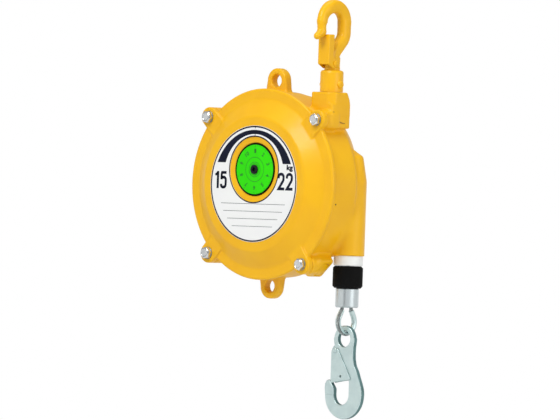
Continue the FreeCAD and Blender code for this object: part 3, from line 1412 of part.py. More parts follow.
def top_latch():
    latch = body("top_latch", HOOK)
    outline = [
        ("-latch_front", "-latch_top"), ("-(latch_front - latch_depth)", "-latch_top"),
        ("-(latch_front - latch_depth) - 0.2", "-neck_top + 1"), ("-1.5", "-neck_top - 2"),
        ("-1.5", "-latch_pivot_z - 3.5"), ("-latch_pivot_y - 2.5", "-latch_tail"),
        ("-latch_front", "-latch_low")]
    pad(latch, polygon(sketch(latch, "YZ_Plane", "-latch_half"), outline), "2 * latch_half")
    inner = "latch_half - latch_sheet"
    inside = box_points("latch_sheet - latch_front", "20", "-latch_tail - 5", "5 - latch_top")
    pocket(latch, polygon(sketch(latch, "YZ_Plane", inner), inside), f"2 * ({inner})")
    pocket(latch, circle(sketch(latch, "YZ_Plane", "latch_half + 1"), "latch_pin_radius + running_gap",
                         "-latch_pivot_y", "-latch_pivot_z"), "2 * latch_half + 2")
    return latch


def top_latch_pin():
    place = HOOK * at("0", "-latch_pivot_y", "-latch_pivot_z", FreeCAD.Rotation(Y_AXIS, 90))
    return headed_pin("top_latch_pin", place, "latch_pin_radius", "latch_half + face_gap", "latch_pin_head",
                      "latch_pin_head_high")


# ---------------------------------------------------------------- the whole

SWIVEL = CASING * at("swivel_x", "swivel_y")
REAR_BUSH = "(back_plane - wall_thick)"

pieces = [
    rear_casing(), front_cover(), *cover_fasteners(), nameplate(),
    sleeve("front_bush", SHAFT, "shaft_radius + running_gap", "shaft_radius + bush_wall - seat_gap",
           "-well_floor", "hub_end"),
    sleeve("rear_bush", SHAFT, "shaft_radius + running_gap", "shaft_radius + bush_wall - seat_gap",
           REAR_BUSH, f"{REAR_BUSH} + rear_bush_long"),
    rear_cap(), outlet_guide(), worm_plug(),
    sleeve("worm_outer_bush", WORM, "worm_stem_radius + running_gap", "worm_bore - seat_gap",
           "outer_bush_from", "worm_end", "Z"),
    sleeve("worm_inner_bush", WORM, "worm_tail_radius + running_gap",
           "worm_tail_radius + bush_wall - seat_gap", "-cradle_at - cradle_thick / 2",
           "-cradle_at + cradle_thick / 2", "Z"),
    sleeve("hook_bush", SWIVEL, "stem_radius + running_gap", "stem_radius + stem_bush_wall - seat_gap",
           "pocket_top", "block_top", "Z"),
    main_shaft(), shaft_keys(), worm_wheel(), tension_dial(), dial_screw(), retaining_rings(),
    shaft_spacers(), spring_arbor(), *bearing_rings(), worm(), drum(), drum_cover(), *drum_fasteners(),
    main_spring(), spring_anchor(), rope_turns(), wire_rope(), rope_stopper(), ferrule(), rope_eye(),
    thimble(), lower_hook(), lower_latch(), latch_rivet(), top_hook(), hook_collar(), hook_pin(),
    *stem_fasteners(), top_latch(), top_latch_pin(),
]
doc.recompute()

for thing in doc.Objects:
    if "Invalid" in thing.State or "Error" in thing.State:
        raise RuntimeError(f"{thing.Label}: {thing.State}")
for piece in pieces:
    if piece.Shape.isNull() or not piece.Shape.isValid():
        raise RuntimeError(f"{piece.Label}: bad shape")

os.makedirs("parts", exist_ok=True)
for piece in pieces:
    piece.Shape.exportStep(f"parts/{piece.Label}.step")
for piece in pieces:
    solids = piece.Shape.Solids
    print(f"{piece.Label:22s} {len(solids):3d} solids {piece.Shape.Volume:12.1f} mm3")
for name in ("rope_bend", "eye_radius", "eye_bend", "turn_radius"):
    print(f"bend of the rope's centre line, {name}: {num(name):.1f} mm")
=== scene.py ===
# %% [markdown]
# # A spring balancer, dressed in Blender
# A balancer hangs over a work place and carries a hand tool on a wire rope. Its solids come from
# CAD as the fixed frame. Here each piece gets the surface and finish of the real one: soft-edged
# castings under thick yellow enamel, plated hooks, stranded rope, a printed scale and a green dial.

# %% The frame and its units
import math
import bpy
import numpy as np
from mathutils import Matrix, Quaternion, Vector


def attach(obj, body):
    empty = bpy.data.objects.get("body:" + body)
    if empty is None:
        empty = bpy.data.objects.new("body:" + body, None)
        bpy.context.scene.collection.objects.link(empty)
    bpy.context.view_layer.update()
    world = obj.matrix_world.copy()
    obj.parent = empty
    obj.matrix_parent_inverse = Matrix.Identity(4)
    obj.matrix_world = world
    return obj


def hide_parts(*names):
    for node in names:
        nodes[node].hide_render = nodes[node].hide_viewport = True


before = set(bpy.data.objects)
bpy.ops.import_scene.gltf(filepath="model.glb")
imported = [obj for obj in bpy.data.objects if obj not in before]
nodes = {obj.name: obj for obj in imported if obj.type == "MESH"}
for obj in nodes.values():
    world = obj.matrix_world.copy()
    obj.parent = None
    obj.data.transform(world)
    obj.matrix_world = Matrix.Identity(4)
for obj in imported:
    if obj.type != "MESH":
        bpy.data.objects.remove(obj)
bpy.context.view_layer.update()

MM = 0.001
COVER = np.array([-80.0, -30.8, -196.6])     # middle of the front cover, in mm from the hook's bowl
SHAFT_RISE = 17.3                            # main shaft above that middle
ROPE = np.array([89.0, 61.5, 0.0])           # the rope's upright line, from the cover's middle
FACE = -13.7                                 # the cover's raised face, in front of its flange
WALL_RADIUS = 111.5                          # the rear casing's wide wall

# %% [markdown]
# ## From numbers to a mesh
# Every new surface below is an array of points and an array of faces. One helper turns them into a
# Blender object. It takes millimetres, because a maker's drawing does, and metres are set here once.


# %% Points and faces become an object
def make_piece(name, points, faces, body, replaces=(), smooth=True, origin=COVER):
    """A mesh from points in mm about an origin; a face with three corners has -1 as its fourth."""
    mesh = bpy.data.meshes.new(name)
    corners = faces[faces >= 0]
    sizes = (faces >= 0).sum(1)
    mesh.vertices.add(len(points))
    mesh.vertices.foreach_set("co", ((points + origin) * MM).ravel())
    mesh.loops.add(len(corners))
    mesh.loops.foreach_set("vertex_index", corners)
    mesh.polygons.add(len(faces))
    mesh.polygons.foreach_set("loop_start", np.cumsum(sizes) - sizes)
    mesh.update(calc_edges=True)
    mesh.validate()
    mesh.polygons.foreach_set("use_smooth", np.full(len(mesh.polygons), smooth))
    piece = bpy.data.objects.new(name, mesh)
    bpy.context.scene.collection.objects.link(piece)
    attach(piece, body)
    if replaces:
        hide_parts(*replaces)
    print(f"{name}: {len(mesh.polygons)} faces")
    return piece


# %% [markdown]
# Some pieces wear two finishes: the flat faces keep their plating, and the faces on the edges get painted
# shade, a dark finish for the shadow lines along those edges. The faces know which way they point, so the
# second finish goes to those that point sideways.


# %% Two finishes on one piece: painted shade on the edges
def edge_shade_faces(piece, axis, limit=0.6):
    """Material slot 1, the painted edge shade, for each face whose normal has a small share along an axis.
    """
    mesh = piece.data
    normals = np.empty(3 * len(mesh.polygons))
    mesh.polygons.foreach_get("normal", normals)
    edge = np.abs(normals.reshape(-1, 3)[:, axis]) < limit
    mesh.polygons.foreach_set("material_index", edge.astype(int))
    print(f"{piece.name}: {edge.sum()} faces on its edges")


# %% [markdown]
# ## Castings as distance fields
# A die casting has no sharp corner: metal flows round every edge, and where a boss meets a wall
# there is a fillet. Modelling each fillet by hand would take days. A distance field does it by
# itself. Each form is a function that tells how far a point is from its surface, negative inside.
# The smaller of two such functions is their union, and a softened minimum rounds the joint.


# %% Distance functions and how they join
def join(a, b, fillet=0.0):
    """The smaller distance; within the fillet's width the two blend along a parabola."""
    if not fillet:
        return np.minimum(a, b)
    share = np.clip(0.5 + 0.5 * (b - a) / fillet, 0, 1)
    return b + (a - b) * share - fillet * share * (1 - share)


def carve(a, b, fillet=0.0):
    """Form a without form b: the larger of a and minus b, blended in the same way."""
    return -join(-a, b, fillet)


def common(a, b, fillet=0.0):
    """What both forms share: the larger of the two, blended in the same way."""
    return -join(-a, -b, fillet)


def brick(p, low, high, edge=1.0):
    """Distance to a box: the length of what lies beyond its corner, less the edge's radius."""
    low, high = np.array(low, float), np.array(high, float)
    beyond = np.abs(p - (low + high) / 2) - (high - low) / 2 + edge
    outside = np.linalg.norm(np.maximum(beyond, 0), axis=-1)
    return outside + np.minimum(beyond.max(-1), 0) - edge


def rod(p, start, end, radius, radius_end=None):
    """Distance to a bar with round ends: to the nearest point of its axis, less its radius there."""
    start, end = np.array(start, float), np.array(end, float)
    way = end - start
    along = np.clip((p - start) @ way / (way @ way), 0, 1)
    reach = np.linalg.norm(p - start - along[..., None] * way, axis=-1)
    return reach - radius - ((radius if radius_end is None else radius_end) - radius) * along


def soften(points, radii, steps=6):
    """A closed outline with its corners turned into arcs, each between its two touching points."""
    points = np.array(points, float)
    radii = np.broadcast_to(np.array(radii, float), len(points))
    into = points - np.roll(points, 1, 0)
    into /= np.maximum(np.linalg.norm(into, axis=1), 1e-9)[:, None]
    out = np.roll(into, -1, 0)
    turn = np.arccos(np.clip((into * out).sum(1), -1, 1))
    reach = radii * np.tan(turn / 2)
    t = np.linspace(0, 1, steps)[None, :, None]
    a, b = (points - into * reach[:, None])[:, None], (points + out * reach[:, None])[:, None]
    corner = points[:, None]
    bend = np.cos(turn / 2)[:, None, None]
    # a rational curve of second degree is an exact arc
    weight = (1 - t) ** 2 + 2 * t * (1 - t) * bend + t ** 2
    arcs = ((1 - t) ** 2 * a + 2 * t * (1 - t) * bend * corner + t ** 2 * b) / weight
    return arcs.reshape(-1, 2)


class Outline:
    """Distance to a flat outline, worked out once on a fine net and then read between its knots."""

    def __init__(self, points, radii=0.0, step=0.4, border=14.0):
        """At each knot, the distance to the nearest edge, negative after an odd count of crossings."""
        self.edge = soften(points, radii)
        self.low = self.edge.min(0) - border
        self.step = step
        count = np.ceil((self.edge.max(0) + border - self.low) / step).astype(int) + 1
        u = self.low[0] + step * np.arange(count[0])
        v = self.low[1] + step * np.arange(count[1])
        p = np.stack(np.meshgrid(u, v, indexing="ij"), -1)
        nearest = np.full(p.shape[:2], 1e9)
        inside = np.zeros(p.shape[:2], bool)
        for a, b in zip(self.edge, np.roll(self.edge, -1, 0)):
            way = b - a
            if way @ way < 1e-12:
                continue
            along = np.clip((p - a) @ way / (way @ way), 0, 1)
            nearest = np.minimum(nearest, np.linalg.norm(p - a - along[..., None] * way, axis=-1))
            crosses = (a[1] > p[..., 1]) != (b[1] > p[..., 1])
            height = np.where(way[1] == 0, 1e-9, way[1])
            inside ^= crosses & (p[..., 0] < a[0] + way[0] * (p[..., 1] - a[1]) / height)
        self.table = np.where(inside, -nearest, nearest)

    def __call__(self, u, v):
        """Bilinear reading: a weighted mean of the four knots around the point."""
        top = np.array(self.table.shape) - 1.001
        i = np.clip((u - self.low[0]) / self.step, 0, top[0])
        j = np.clip((v - self.low[1]) / self.step, 0, top[1])
        a, b = i.astype(int), j.astype(int)
        s, t = i - a, j - b
        table = self.table
        return ((table[a, b] * (1 - s) + table[a + 1, b] * s) * (1 - t)
                + (table[a, b + 1] * (1 - s) + table[a + 1, b + 1] * s) * t)


def turned_form(p, outline, centre=(0.0, 0.0)):
    """A turned form about an axis along Y: the outline is read at (distance from axis, y)."""
    return outline(np.hypot(p[..., 0] - centre[0], p[..., 2] - centre[1]), p[..., 1])


def plate_form(across, along, middle, half, edge=1.0):
    """An outline with a thickness; the two distances are joined as at a rounded edge."""
    thick = np.abs(along - middle) - half
    a, b = across + edge, thick + edge
    return np.hypot(np.maximum(a, 0), np.maximum(b, 0)) + np.minimum(np.maximum(a, b), 0) - edge


# %% [markdown]
# ## A skin over the field
# The field is sampled on a grid. Each cell that the surface passes through gets one point, at the
# mean of where the surface crosses the cell's edges, and each crossed edge gets one face between
# its four cells. The points are then pulled onto the surface along the field's slope, so that the
# skin is far finer than its grid.


# %% A net drawn over a distance field
def skin(field, low, high, cell, pulls=3):
    """Points and quads of the surface where the field is zero."""
    axes = [np.arange(a, b + cell, cell) for a, b in zip(low, high)]
    grid = np.stack(np.meshgrid(*axes, indexing="ij"), -1)
    value = np.concatenate([field(slab) for slab in np.array_split(grid, 12)])
    inside = value < 0
    shape = np.array(value.shape) - 1
    total, count = np.zeros((*shape, 3)), np.zeros(shape)
    corners = np.array([(i, j, k) for i in (0, 1) for j in (0, 1) for k in (0, 1)])

    def part(array, offset):
        """The array as each cell sees it at one of its corners."""
        return array[tuple(slice(o, o + n) for o, n in zip(offset, shape))]

    for axis in range(3):
        step = np.eye(3, dtype=int)[axis]
        for corner in corners[corners[:, axis] == 0]:
            a, b = part(value, corner), part(value, corner + step)
            hit = (a < 0) != (b < 0)
            share = np.where(hit, a / np.where(hit, a - b, 1), 0)
            total += hit[..., None] * (corner + share[..., None] * step)
            count += hit
    active = count > 0
    number = np.full(shape, -1)
    number[active] = np.arange(active.sum())
    points = (np.argwhere(active) + total[active] / count[active][:, None]) * cell + np.array(low)
    faces = []
    for axis in range(3):
        step = np.eye(3, dtype=int)[axis]
        u, v = np.eye(3, dtype=int)[(axis + 1) % 3], np.eye(3, dtype=int)[(axis + 2) % 3]
        here = np.argwhere(inside[tuple(slice(0, n) for n in shape)]
                           != inside[tuple(slice(o, o + n) for o, n in zip(step, shape))])
        here = here[(here[:, (axis + 1) % 3] > 0) & (here[:, (axis + 2) % 3] > 0)]
        quad = np.stack([number[tuple((here - d).T)] for d in (u + v, v, 0 * u, u)], 1)
        flip = ~inside[tuple(here.T)]
        quad[flip] = quad[flip][:, ::-1]
        faces.append(quad)
    faces = np.concatenate(faces)
    probe = cell * 0.05
    for _ in range(pulls):
        distance = field(points)
        slope = np.stack([field(points + probe * e) - field(points - probe * e) for e in np.eye(3)], -1)
        slope /= 2 * probe
        size = np.maximum((slope ** 2).sum(-1), 0.25)
        pull = -distance[:, None] * slope / size[:, None]
        length = np.linalg.norm(pull, axis=1, keepdims=True)
        points = points + pull * np.minimum(1, 0.5 * cell / np.maximum(length, 1e-9))
    return points, faces[(faces >= 0).all(1)]


# %% [markdown]
# ## The front cover
# On the real cover a flat ring carries the bolts, a slope rises from it, and the raised face has a
# well for the dial, off the middle because the main shaft sits high. Each bolt stands on a pad that
# runs into the slope. The field is one turned outline, the four pads joined to it, and the well and
# the bolt holes carved out.

# %% Front cover
BOLTS = np.radians([42.0, 138.0, 226.0, -53.0])
BOLT_CIRCLE = 118.0
bolt_places = BOLT_CIRCLE * np.stack([np.cos(BOLTS), np.sin(BOLTS)], 1)

cover_outline = Outline([(-50, FACE), (81, FACE), (102, 0), (115, 0), (115, 5.9), (-50, 5.9)],
                        [0, 7, 5, 2, 0.8, 0])
well_outline = Outline([(-50, -40), (38.6, -40), (38.6, FACE), (31.7, -12.2), (31.7, -8.6), (-50, -8.6)],
                       [0, 0, 0.3, 1.2, 1, 0])


def cover_field(p):
    """The turned cover with four pads; less the dial's well and the bolt holes."""
    form = turned_form(p, cover_outline)
    for way in bolt_places / BOLT_CIRCLE:
        inner, outer = 90 * way, BOLT_CIRCLE * way
        flat = p.copy()
        flat[..., 1] = 0
        strip = rod(flat, (inner[0], 0, inner[1]), (outer[0], 0, outer[1]), 12.5, 12)
        form = join(form, plate_form(strip, p[..., 1], 1.7, 4.2, 0.9), 1.2)
    form = carve(form, turned_form(p, well_outline, (0, SHAFT_RISE)), 1.0)
    for x, z in bolt_places:
        form = carve(form, np.hypot(p[..., 0] - x, p[..., 2] - z) - 4.3, 0.5)
    return form


cover = make_piece("front_cover_skin", *skin(cover_field, (-133, -17, -133), (133, 9, 133), 1.5),
                   "casing", ["front_cover"])

# %% [markdown]
# ## The rear casing
# Behind the cover lies a wide drum-shaped wall, then a smaller round housing for the rope's drum,
# higher by the shaft's offset. A block at the top right carries the hook, an upright tube at the
# right lets the rope out, and a slanting boss at the bottom right holds the worm that sets the
# spring. They all flow into each other, so every joint gets a generous fillet.

# %% Rear casing
wall_outline = Outline([(-50, 6.1), (WALL_RADIUS, 6.1), (WALL_RADIUS, 51), (-50, 51)], [0, 0.8, 7, 0])
housing_outline = Outline([(-50, 30), (93, 30), (93, 60), (76, 86), (20.5, 86), (20.5, 94), (-50, 94)],
                          [0, 0, 10, 8, 4, 1.5, 0])
TUBE_END = -82.3
tube_outline = Outline([(-50, TUBE_END), (19, TUBE_END), (19, 7), (13.8, 37), (3.2, 44), (-50, 44)],
                       [0, 0.8, 20, 6, 3, 0])
BLOCK_LEFT, BLOCK_RIGHT, BLOCK_FRONT, BLOCK_BACK = 62.75, 97.25, 14, 47.55
block_outline = Outline([(BLOCK_LEFT, BLOCK_FRONT), (BLOCK_RIGHT - 7, BLOCK_FRONT),
                         (BLOCK_RIGHT, BLOCK_FRONT + 7), (BLOCK_RIGHT, BLOCK_BACK),
                         (BLOCK_LEFT, BLOCK_BACK)], [2, 3, 3, 3, 3])
lower_block_outline = Outline([(BLOCK_LEFT, BLOCK_FRONT), (BLOCK_RIGHT, BLOCK_FRONT),
                               (BLOCK_RIGHT, BLOCK_BACK), (BLOCK_LEFT, BLOCK_BACK)], 3)
EARS = ((125, 104), (-122, -104))            # height of each ear's bore and of its foot
EAR_BORE = 7.75
WORM_SLOPE = math.radians(47)
worm_way = np.array([math.cos(WORM_SLOPE), 0, -math.sin(WORM_SLOPE)])
worm_side = np.array([-math.sin(WORM_SLOPE), 0, -math.cos(WORM_SLOPE)])
worm_axis = np.array([0, 29.0, SHAFT_RISE]) + 25 * worm_side


def along_worm(p):
    """A point's place in the worm's own frame: sideways, to the back, and along its axis."""
    q = p - worm_axis
    return np.stack([q @ worm_side, q[..., 1], q @ worm_way], -1)


def casing_field(p):
    """Wall and housing, then block, tube, boss, columns and ears; less every opening that shows."""
    form = join(turned_form(p, wall_outline), turned_form(p, housing_outline, (0, SHAFT_RISE)), 5.0)
    up = np.hypot(p[..., 0] - ROPE[0], p[..., 1] - ROPE[1])
    tube = tube_outline(up, p[..., 2])
    tube = join(tube, brick(p, (60, 42.5, TUBE_END), (89, 80.5, 10), 3), 4.0)
    tube = join(tube, brick(p, (60, 47.7, -20), (89, 75.3, 37), 6), 8.0)
    form = join(form, tube, 7.0)
    low = plate_form(lower_block_outline(p[..., 0], p[..., 1]), p[..., 2], 84.6, 15, 1.5)
    high = plate_form(block_outline(p[..., 0], p[..., 1]), p[..., 2], 98, 14.7, 1.5)
    wedge = (p[..., 1] - BLOCK_BACK) * 0.894 + (p[..., 2] - 100.7) * 0.447
    form = join(form, common(join(low, high, 1.0), wedge, 2.0), 6.0)
    worm = along_worm(p)
    form = join(form, brick(worm, (-15, -14, 84), (15, 12.8, 137), 4), 4.0)
    for x, z in bolt_places:
        column = plate_form(np.hypot(p[..., 0] - x, p[..., 2] - z) - 12, p[..., 1], 16, 9.9, 1.5)
        column = common(column, p[..., 0] - 97.2, 1.0)
        form = join(form, column, 4.0)
    for height, foot in EARS:
        flat = p.copy()
        flat[..., 1] = 0
        ear = rod(flat, (0, 0, height), (0, 0, foot), 15, 18)
        form = join(form, plate_form(ear, p[..., 1], 25.5, 5.5, 1.5), 4.0)
    for height, _ in EARS:
        form = carve(form, np.hypot(p[..., 0], p[..., 2] - height) - EAR_BORE, 1.2)
    form = carve(form, np.maximum(up - 9.0, p[..., 2] + 60), 0.5)
    form = carve(form, np.maximum(np.hypot(worm[..., 0], worm[..., 1]) - 10.3, 120 - worm[..., 2]), 0.5)
    hook_bore = np.hypot(p[..., 0] + COVER[0], p[..., 1] + COVER[1])
    form = carve(form, np.maximum(hook_bore - 11, 100 - p[..., 2]), 0.8)
    shaft_bore = np.hypot(p[..., 0], p[..., 2] - SHAFT_RISE)
    return carve(form, np.maximum(shaft_bore - 16.5, 89 - p[..., 1]), 0.5)


casing = make_piece("rear_casing_skin", *skin(casing_field, (-133, 4, -142), (112, 98, 144), 1.6),
                    "casing", ["rear_casing"])


# %% [markdown]
# ## The top hook
# The hook is forged from round bar and then pressed flat on both sides, so its section is a circle
# cut by two planes. The bar runs up the back limb, round the bowl, and thins down to a small knob
# that keeps a sling from slipping off the latch. Its field is a chain of bars along that line.

# %% A bar along a bent line
def line_of(points, radii, steps=8):
    """An open line with its inner corners turned into arcs."""
    ends = np.zeros(len(points))
    ends[1:-1] = radii
    return soften(points, ends, steps)[steps - 1:-steps + 1]


def bar(p, line, radius):
    """Distance to a round bar: the smallest over the line's straight pieces."""
    reach = np.full(p.shape[:-1], 1e3)
    for start, end in zip(line[:-1], line[1:]):
        if np.linalg.norm(end - start) > 1e-6:
            reach = np.minimum(reach, rod(p, start, end, radius))
    return reach


def upright(points):
    """Points of the hook's plane (Y, Z) given an X of nought."""
    points = np.array(points, float)
    return np.insert(points, 0, 0.0, axis=1)


# %% The top hook
HOOK = np.zeros(3)
BEND = 18.8
back_limb = upright(line_of([(BEND, 0), (BEND, -18), (0, -38), (0, -60)], [16, 16]))


def top_hook_field(p):
    """Bow, back limb and nose as one bar, pressed flat at 7.2 mm each side; a round neck below."""
    y, z = p[..., 1], p[..., 2]
    thin = 2.6 * np.clip(-y / BEND, 0, 1) ** 2     # the bow thins towards its front end
    ring = np.where(z > 0, np.hypot(y, z) - BEND - thin, np.hypot(np.abs(y) - BEND - thin, z))
    bow = np.hypot(ring, p[..., 0]) - 8.3 + thin
    nose = join(rod(p, (0, -21.4, 0), (0, -20.8, -12), 5.7, 5.2),
                rod(p, (0, -20.8, -12.5), (0, -28.6, -17.6), 5.2, 4.2), 2.0)
    form = join(bow, nose, 1.5)
    form = join(form, bar(p, back_limb[:-1], 8.3), 1.0)
    form = join(form, np.maximum(rod(p, (0, 0, -43), (0, 0, -70), 9.3), z + 43), 2.5)
    form = common(form, np.abs(p[..., 0]) - 7.2, 2.2)
    neck = np.maximum(np.hypot(p[..., 0], y) - 9.3, np.abs(z + 56.2) - 1.4)
    form = join(form, neck, 1.0)
    return np.maximum(form, -57.6 - z)


top_hook = make_piece("top_hook_skin", *skin(top_hook_field, (-10, -33, -58.5), (10, 28, 28), 0.75),
                      "top_hook", ["top_hook"], origin=HOOK)

# %% [markdown]
# ## The latches
# Each latch is a strip of sheet steel folded round the hook into a channel: a web that closes the
# throat and two cheeks that hold the pin. The folds are round because the sheet is bent over a
# tool. A solid block with a soft edge, hollowed by a smaller block, gives just that.

# %% The top latch
cheek_outline = Outline([(-16.9, -15), (-6.3, -15), (-6.5, -42), (-1.5, -45), (-1.5, -54.5), (-7, -56),
                         (-16.9, -50.6)], [1.5, 1.5, 2, 1.5, 1.5, 1.5, 1.5], 0.25, 4)


def top_latch_field(p):
    """A channel of 1.3 mm sheet, open to the back and below."""
    x, y, z = np.moveaxis(p, -1, 0)
    form = plate_form(cheek_outline(y, z), x, 0, 8.9, 1.6)
    return carve(form, brick(p, (-7.6, -15.6, -70), (7.6, 30, 0), 1.0), 0.3)


top_latch = make_piece("top_latch_skin", *skin(top_latch_field, (-10, -18, -58), (10, 0, -14), 0.42),
                       "top_latch", ["top_latch"], origin=HOOK)

# %% [markdown]
# ## Turned pieces
# Pins, rivets, rings and caps come off a lathe, so each is a profile carried round an axis. The
# points are a grid: along the profile one way, round the axis the other. The grid's seam is closed
# by taking the turn's number modulo the count, and the poles by single points.


# %% A profile carried round an axis
def turn(profile, along=(0, 0, 1), at=(0, 0, 0), steps=64):
    """Point (r, h) of the profile goes to at + h * along + r * (cos t * u + sin t * v)."""
    profile = np.array(profile, float)
    along = np.array(along, float) / np.linalg.norm(along)
    u = np.cross(along, (0, 0, 1) if abs(along[2]) < 0.9 else (1, 0, 0))
    u /= np.linalg.norm(u)
    v = np.cross(along, u)
    t = np.linspace(0, 2 * np.pi, steps, endpoint=False)
    round_way = np.cos(t)[:, None] * u + np.sin(t)[:, None] * v
    points = profile[:, None, :1] * round_way + profile[:, None, 1:] * along + at
    row = np.arange(len(profile) - 1)[:, None] * steps
    a, b = np.arange(steps), (np.arange(steps) + 1) % steps
    faces = np.stack([row + a, row + b, row + steps + b, row + steps + a], -1).reshape(-1, 4)
    none = np.full(steps, -1)
    if profile[0, 0] < 1e-6:
        faces[:steps] = np.stack([none + 1, b + steps, a + steps, none], 1)
    if profile[-1, 0] < 1e-6:
        last = (len(profile) - 1) * steps
        faces[-steps:] = np.stack([none + 1 + last, a + last - steps, b + last - steps, none], 1)
    return points.reshape(-1, 3), faces


def rounded(points, radii):
    """The open profile with its inner corners turned into arcs."""
    return line_of(points, radii, 6)


def many(shapes):
    """Several shapes as one array of points and one of faces, each shape's numbers moved on."""
    shapes = list(shapes)
    counts = np.cumsum([0] + [len(points) for points, _ in shapes])
    faces = [np.where(some < 0, -1, some + count) for (_, some), count in zip(shapes, counts)]
    return np.concatenate([points for points, _ in shapes]), np.concatenate(faces)


# %% Pins of the top hook
def pin(radius, high, shank, half, centre, way):
    """A pin with a domed head at each end: shank between -half and +half, heads beyond."""
    side_profile = [(shank, half), (radius, half), (radius, half + high * 0.45),
                    (radius * 0.75, half + high), (0, half + high)]
    far = [(r, -h) for r, h in side_profile[::-1]]
    return turn(rounded(far + side_profile, [1.2, 1.0, 0.3, 0.2, 0.2, 0.3, 1.0, 1.2]), way, centre, 48)


hook_pin = make_piece("hook_pin_domed", *pin(4.65, 3.4, 3.0, 13.1, (0, 0, -74.6), (1, 0, 0)),
                      "top_hook", ["hook_pin"], origin=HOOK)
latch_pin = make_piece("top_latch_pin_domed", *pin(3.3, 1.4, 2.0, 9.2, (0, -4.5, -49.5), (1, 0, 0)),
                       "top_hook", ["top_latch_pin"], origin=HOOK)

# %% [markdown]
# ## Bolts
# The four M8 bolts hold the cover. A hexagon head is chamfered by a cone, which leaves a round top
# and six curved edges. The field is the hexagon and the cone in common; a shallow dish is pressed
# into the top, and below comes the washer with its rolled rim.

# %% A bolt's head on its washer
SEAT = -2.5 - 1.2                  # the head's underside, in front of the cover's flange


def bolt_field(p):
    """Hexagon of 13 mm, cut by a cone; the sides are three pairs of planes."""
    x, y, z = np.moveaxis(p, -1, 0)
    sides = [np.abs(x * math.cos(a) + z * math.sin(a)) - 6.5 for a in np.radians([0, 60, 120])]
    hexagon = np.maximum(np.maximum(sides[0], sides[1]), sides[2])
    high = SEAT - y
    form = common(hexagon, np.abs(high - 2.75) - 2.75, 0.25)
    cone = (np.hypot(x, z) - 6.4 + (high - 4.6) * 1.6) * 0.53
    form = common(form, cone, 0.3)
    dish = np.maximum(np.hypot(x, z) - 4.6, 5.0 - high)
    return carve(form, dish, 0.5)


bolt_points, bolt_faces = skin(bolt_field, (-8, SEAT - 6, -8), (8, SEAT + 0.6, 8), 0.36)
bolt_turns = np.radians([8, 37, 21, 50])
heads = []
for (x, z), t in zip(bolt_places, bolt_turns):
    spin = np.array([[math.cos(t), 0, -math.sin(t)], [0, 1, 0], [math.sin(t), 0, math.cos(t)]])
    heads.append((bolt_points @ spin + (x, 0, z), bolt_faces))
    heads.append(turn([(3.6, -7), (4, -6.4), (4, 9)], (0, 1, 0), (x, SEAT + 6, z), 32))
bolts = make_piece("cover_bolt_heads", *many(heads), "casing", ["cover_bolts"])
washer_profile = rounded([(4.1, 0), (7.4, 0), (7.4, 1.2), (4.1, 1.2), (4.1, 0)], [0.2, 0.4, 0.3])
washers = make_piece("cover_washer_rings", *many([
    turn(washer_profile, (0, -1, 0), (x, SEAT + 1.2, z), 40) for x, z in bolt_places]), "casing",
    ["cover_washers"])


# %% [markdown]
# ## The wire rope
# A wire rope is six strands laid round a core, and each strand is laid from wires. Its look comes
# from that double twist, so the eye at the rope's end is drawn wire by wire. One tube is carried
# along each wire's line, and a wire's line is the rope's line plus two turning offsets.

# %% The eye's line
EYE = np.array([9.0, 30.7, -372.8])         # lowest point of the rope's line, in mm from the hook's bowl
EYE_RADIUS, EYE_LEG, EYE_CROOK = 14.4, 8.0, 29.8
out_y, out_z = EYE_LEG, EYE_CROOK - EYE_RADIUS
touch_angle = math.atan2(out_z, out_y) - math.acos(EYE_RADIUS / math.hypot(out_y, out_z))
touch = np.array([math.cos(touch_angle), math.sin(touch_angle)]) * EYE_RADIUS + (0, EYE_RADIUS)


def evenly(line, gap):
    """The same line with its points an even gap apart."""
    run = np.concatenate([[0], np.cumsum(np.linalg.norm(np.diff(line, axis=0), axis=1))])
    wanted = np.linspace(0, run[-1], max(2, round(run[-1] / gap)))
    return np.stack([np.interp(wanted, run, line[:, axis]) for axis in range(line.shape[1])], 1)


around = np.linspace(touch_angle, -math.pi - touch_angle, 80)[1:-1, None]
loop = EYE_RADIUS * np.hstack([np.cos(around), np.sin(around)]) + (0, EYE_RADIUS)
leg = line_of([(EYE_LEG, 46.9), (EYE_LEG, EYE_CROOK), touch], [5.0])
eye_line = evenly(upright(np.vstack([leg, loop, leg[::-1] * (-1, 1)])), 0.7)
print(f"rope in the eye: {0.7 * len(eye_line):.0f} mm")


# %% A section carried along a line
def sweep(line, section, side, closed=True):
    """Section point (a, b) goes to line + a * n + b * side, n being square to the line and side."""
    way = np.gradient(line, axis=0)
    way /= np.linalg.norm(way, axis=1)[:, None]
    across = np.cross(way, side)
    across /= np.linalg.norm(across, axis=1)[:, None]
    section = np.asarray(section)
    if section.ndim == 2:
        section = np.broadcast_to(section, (len(line),) + section.shape)
    points = line[:, None] + section[..., :1] * across[:, None] + section[..., 1:] * np.array(side)
    count = section.shape[1]
    row = np.arange(len(line) - 1)[:, None] * count
    a = np.arange(count if closed else count - 1)
    b = (a + 1) % count
    faces = np.stack([row + a, row + b, row + count + b, row + count + a], -1).reshape(-1, 4)
    return points.reshape(-1, 3), faces


STRAND_OUT, WIRE_OUT, WIRE_RADIUS = 1.58, 0.53, 0.275
ROPE_LAY, STRAND_LAY = 17, 9                 # length of one full twist, in mm


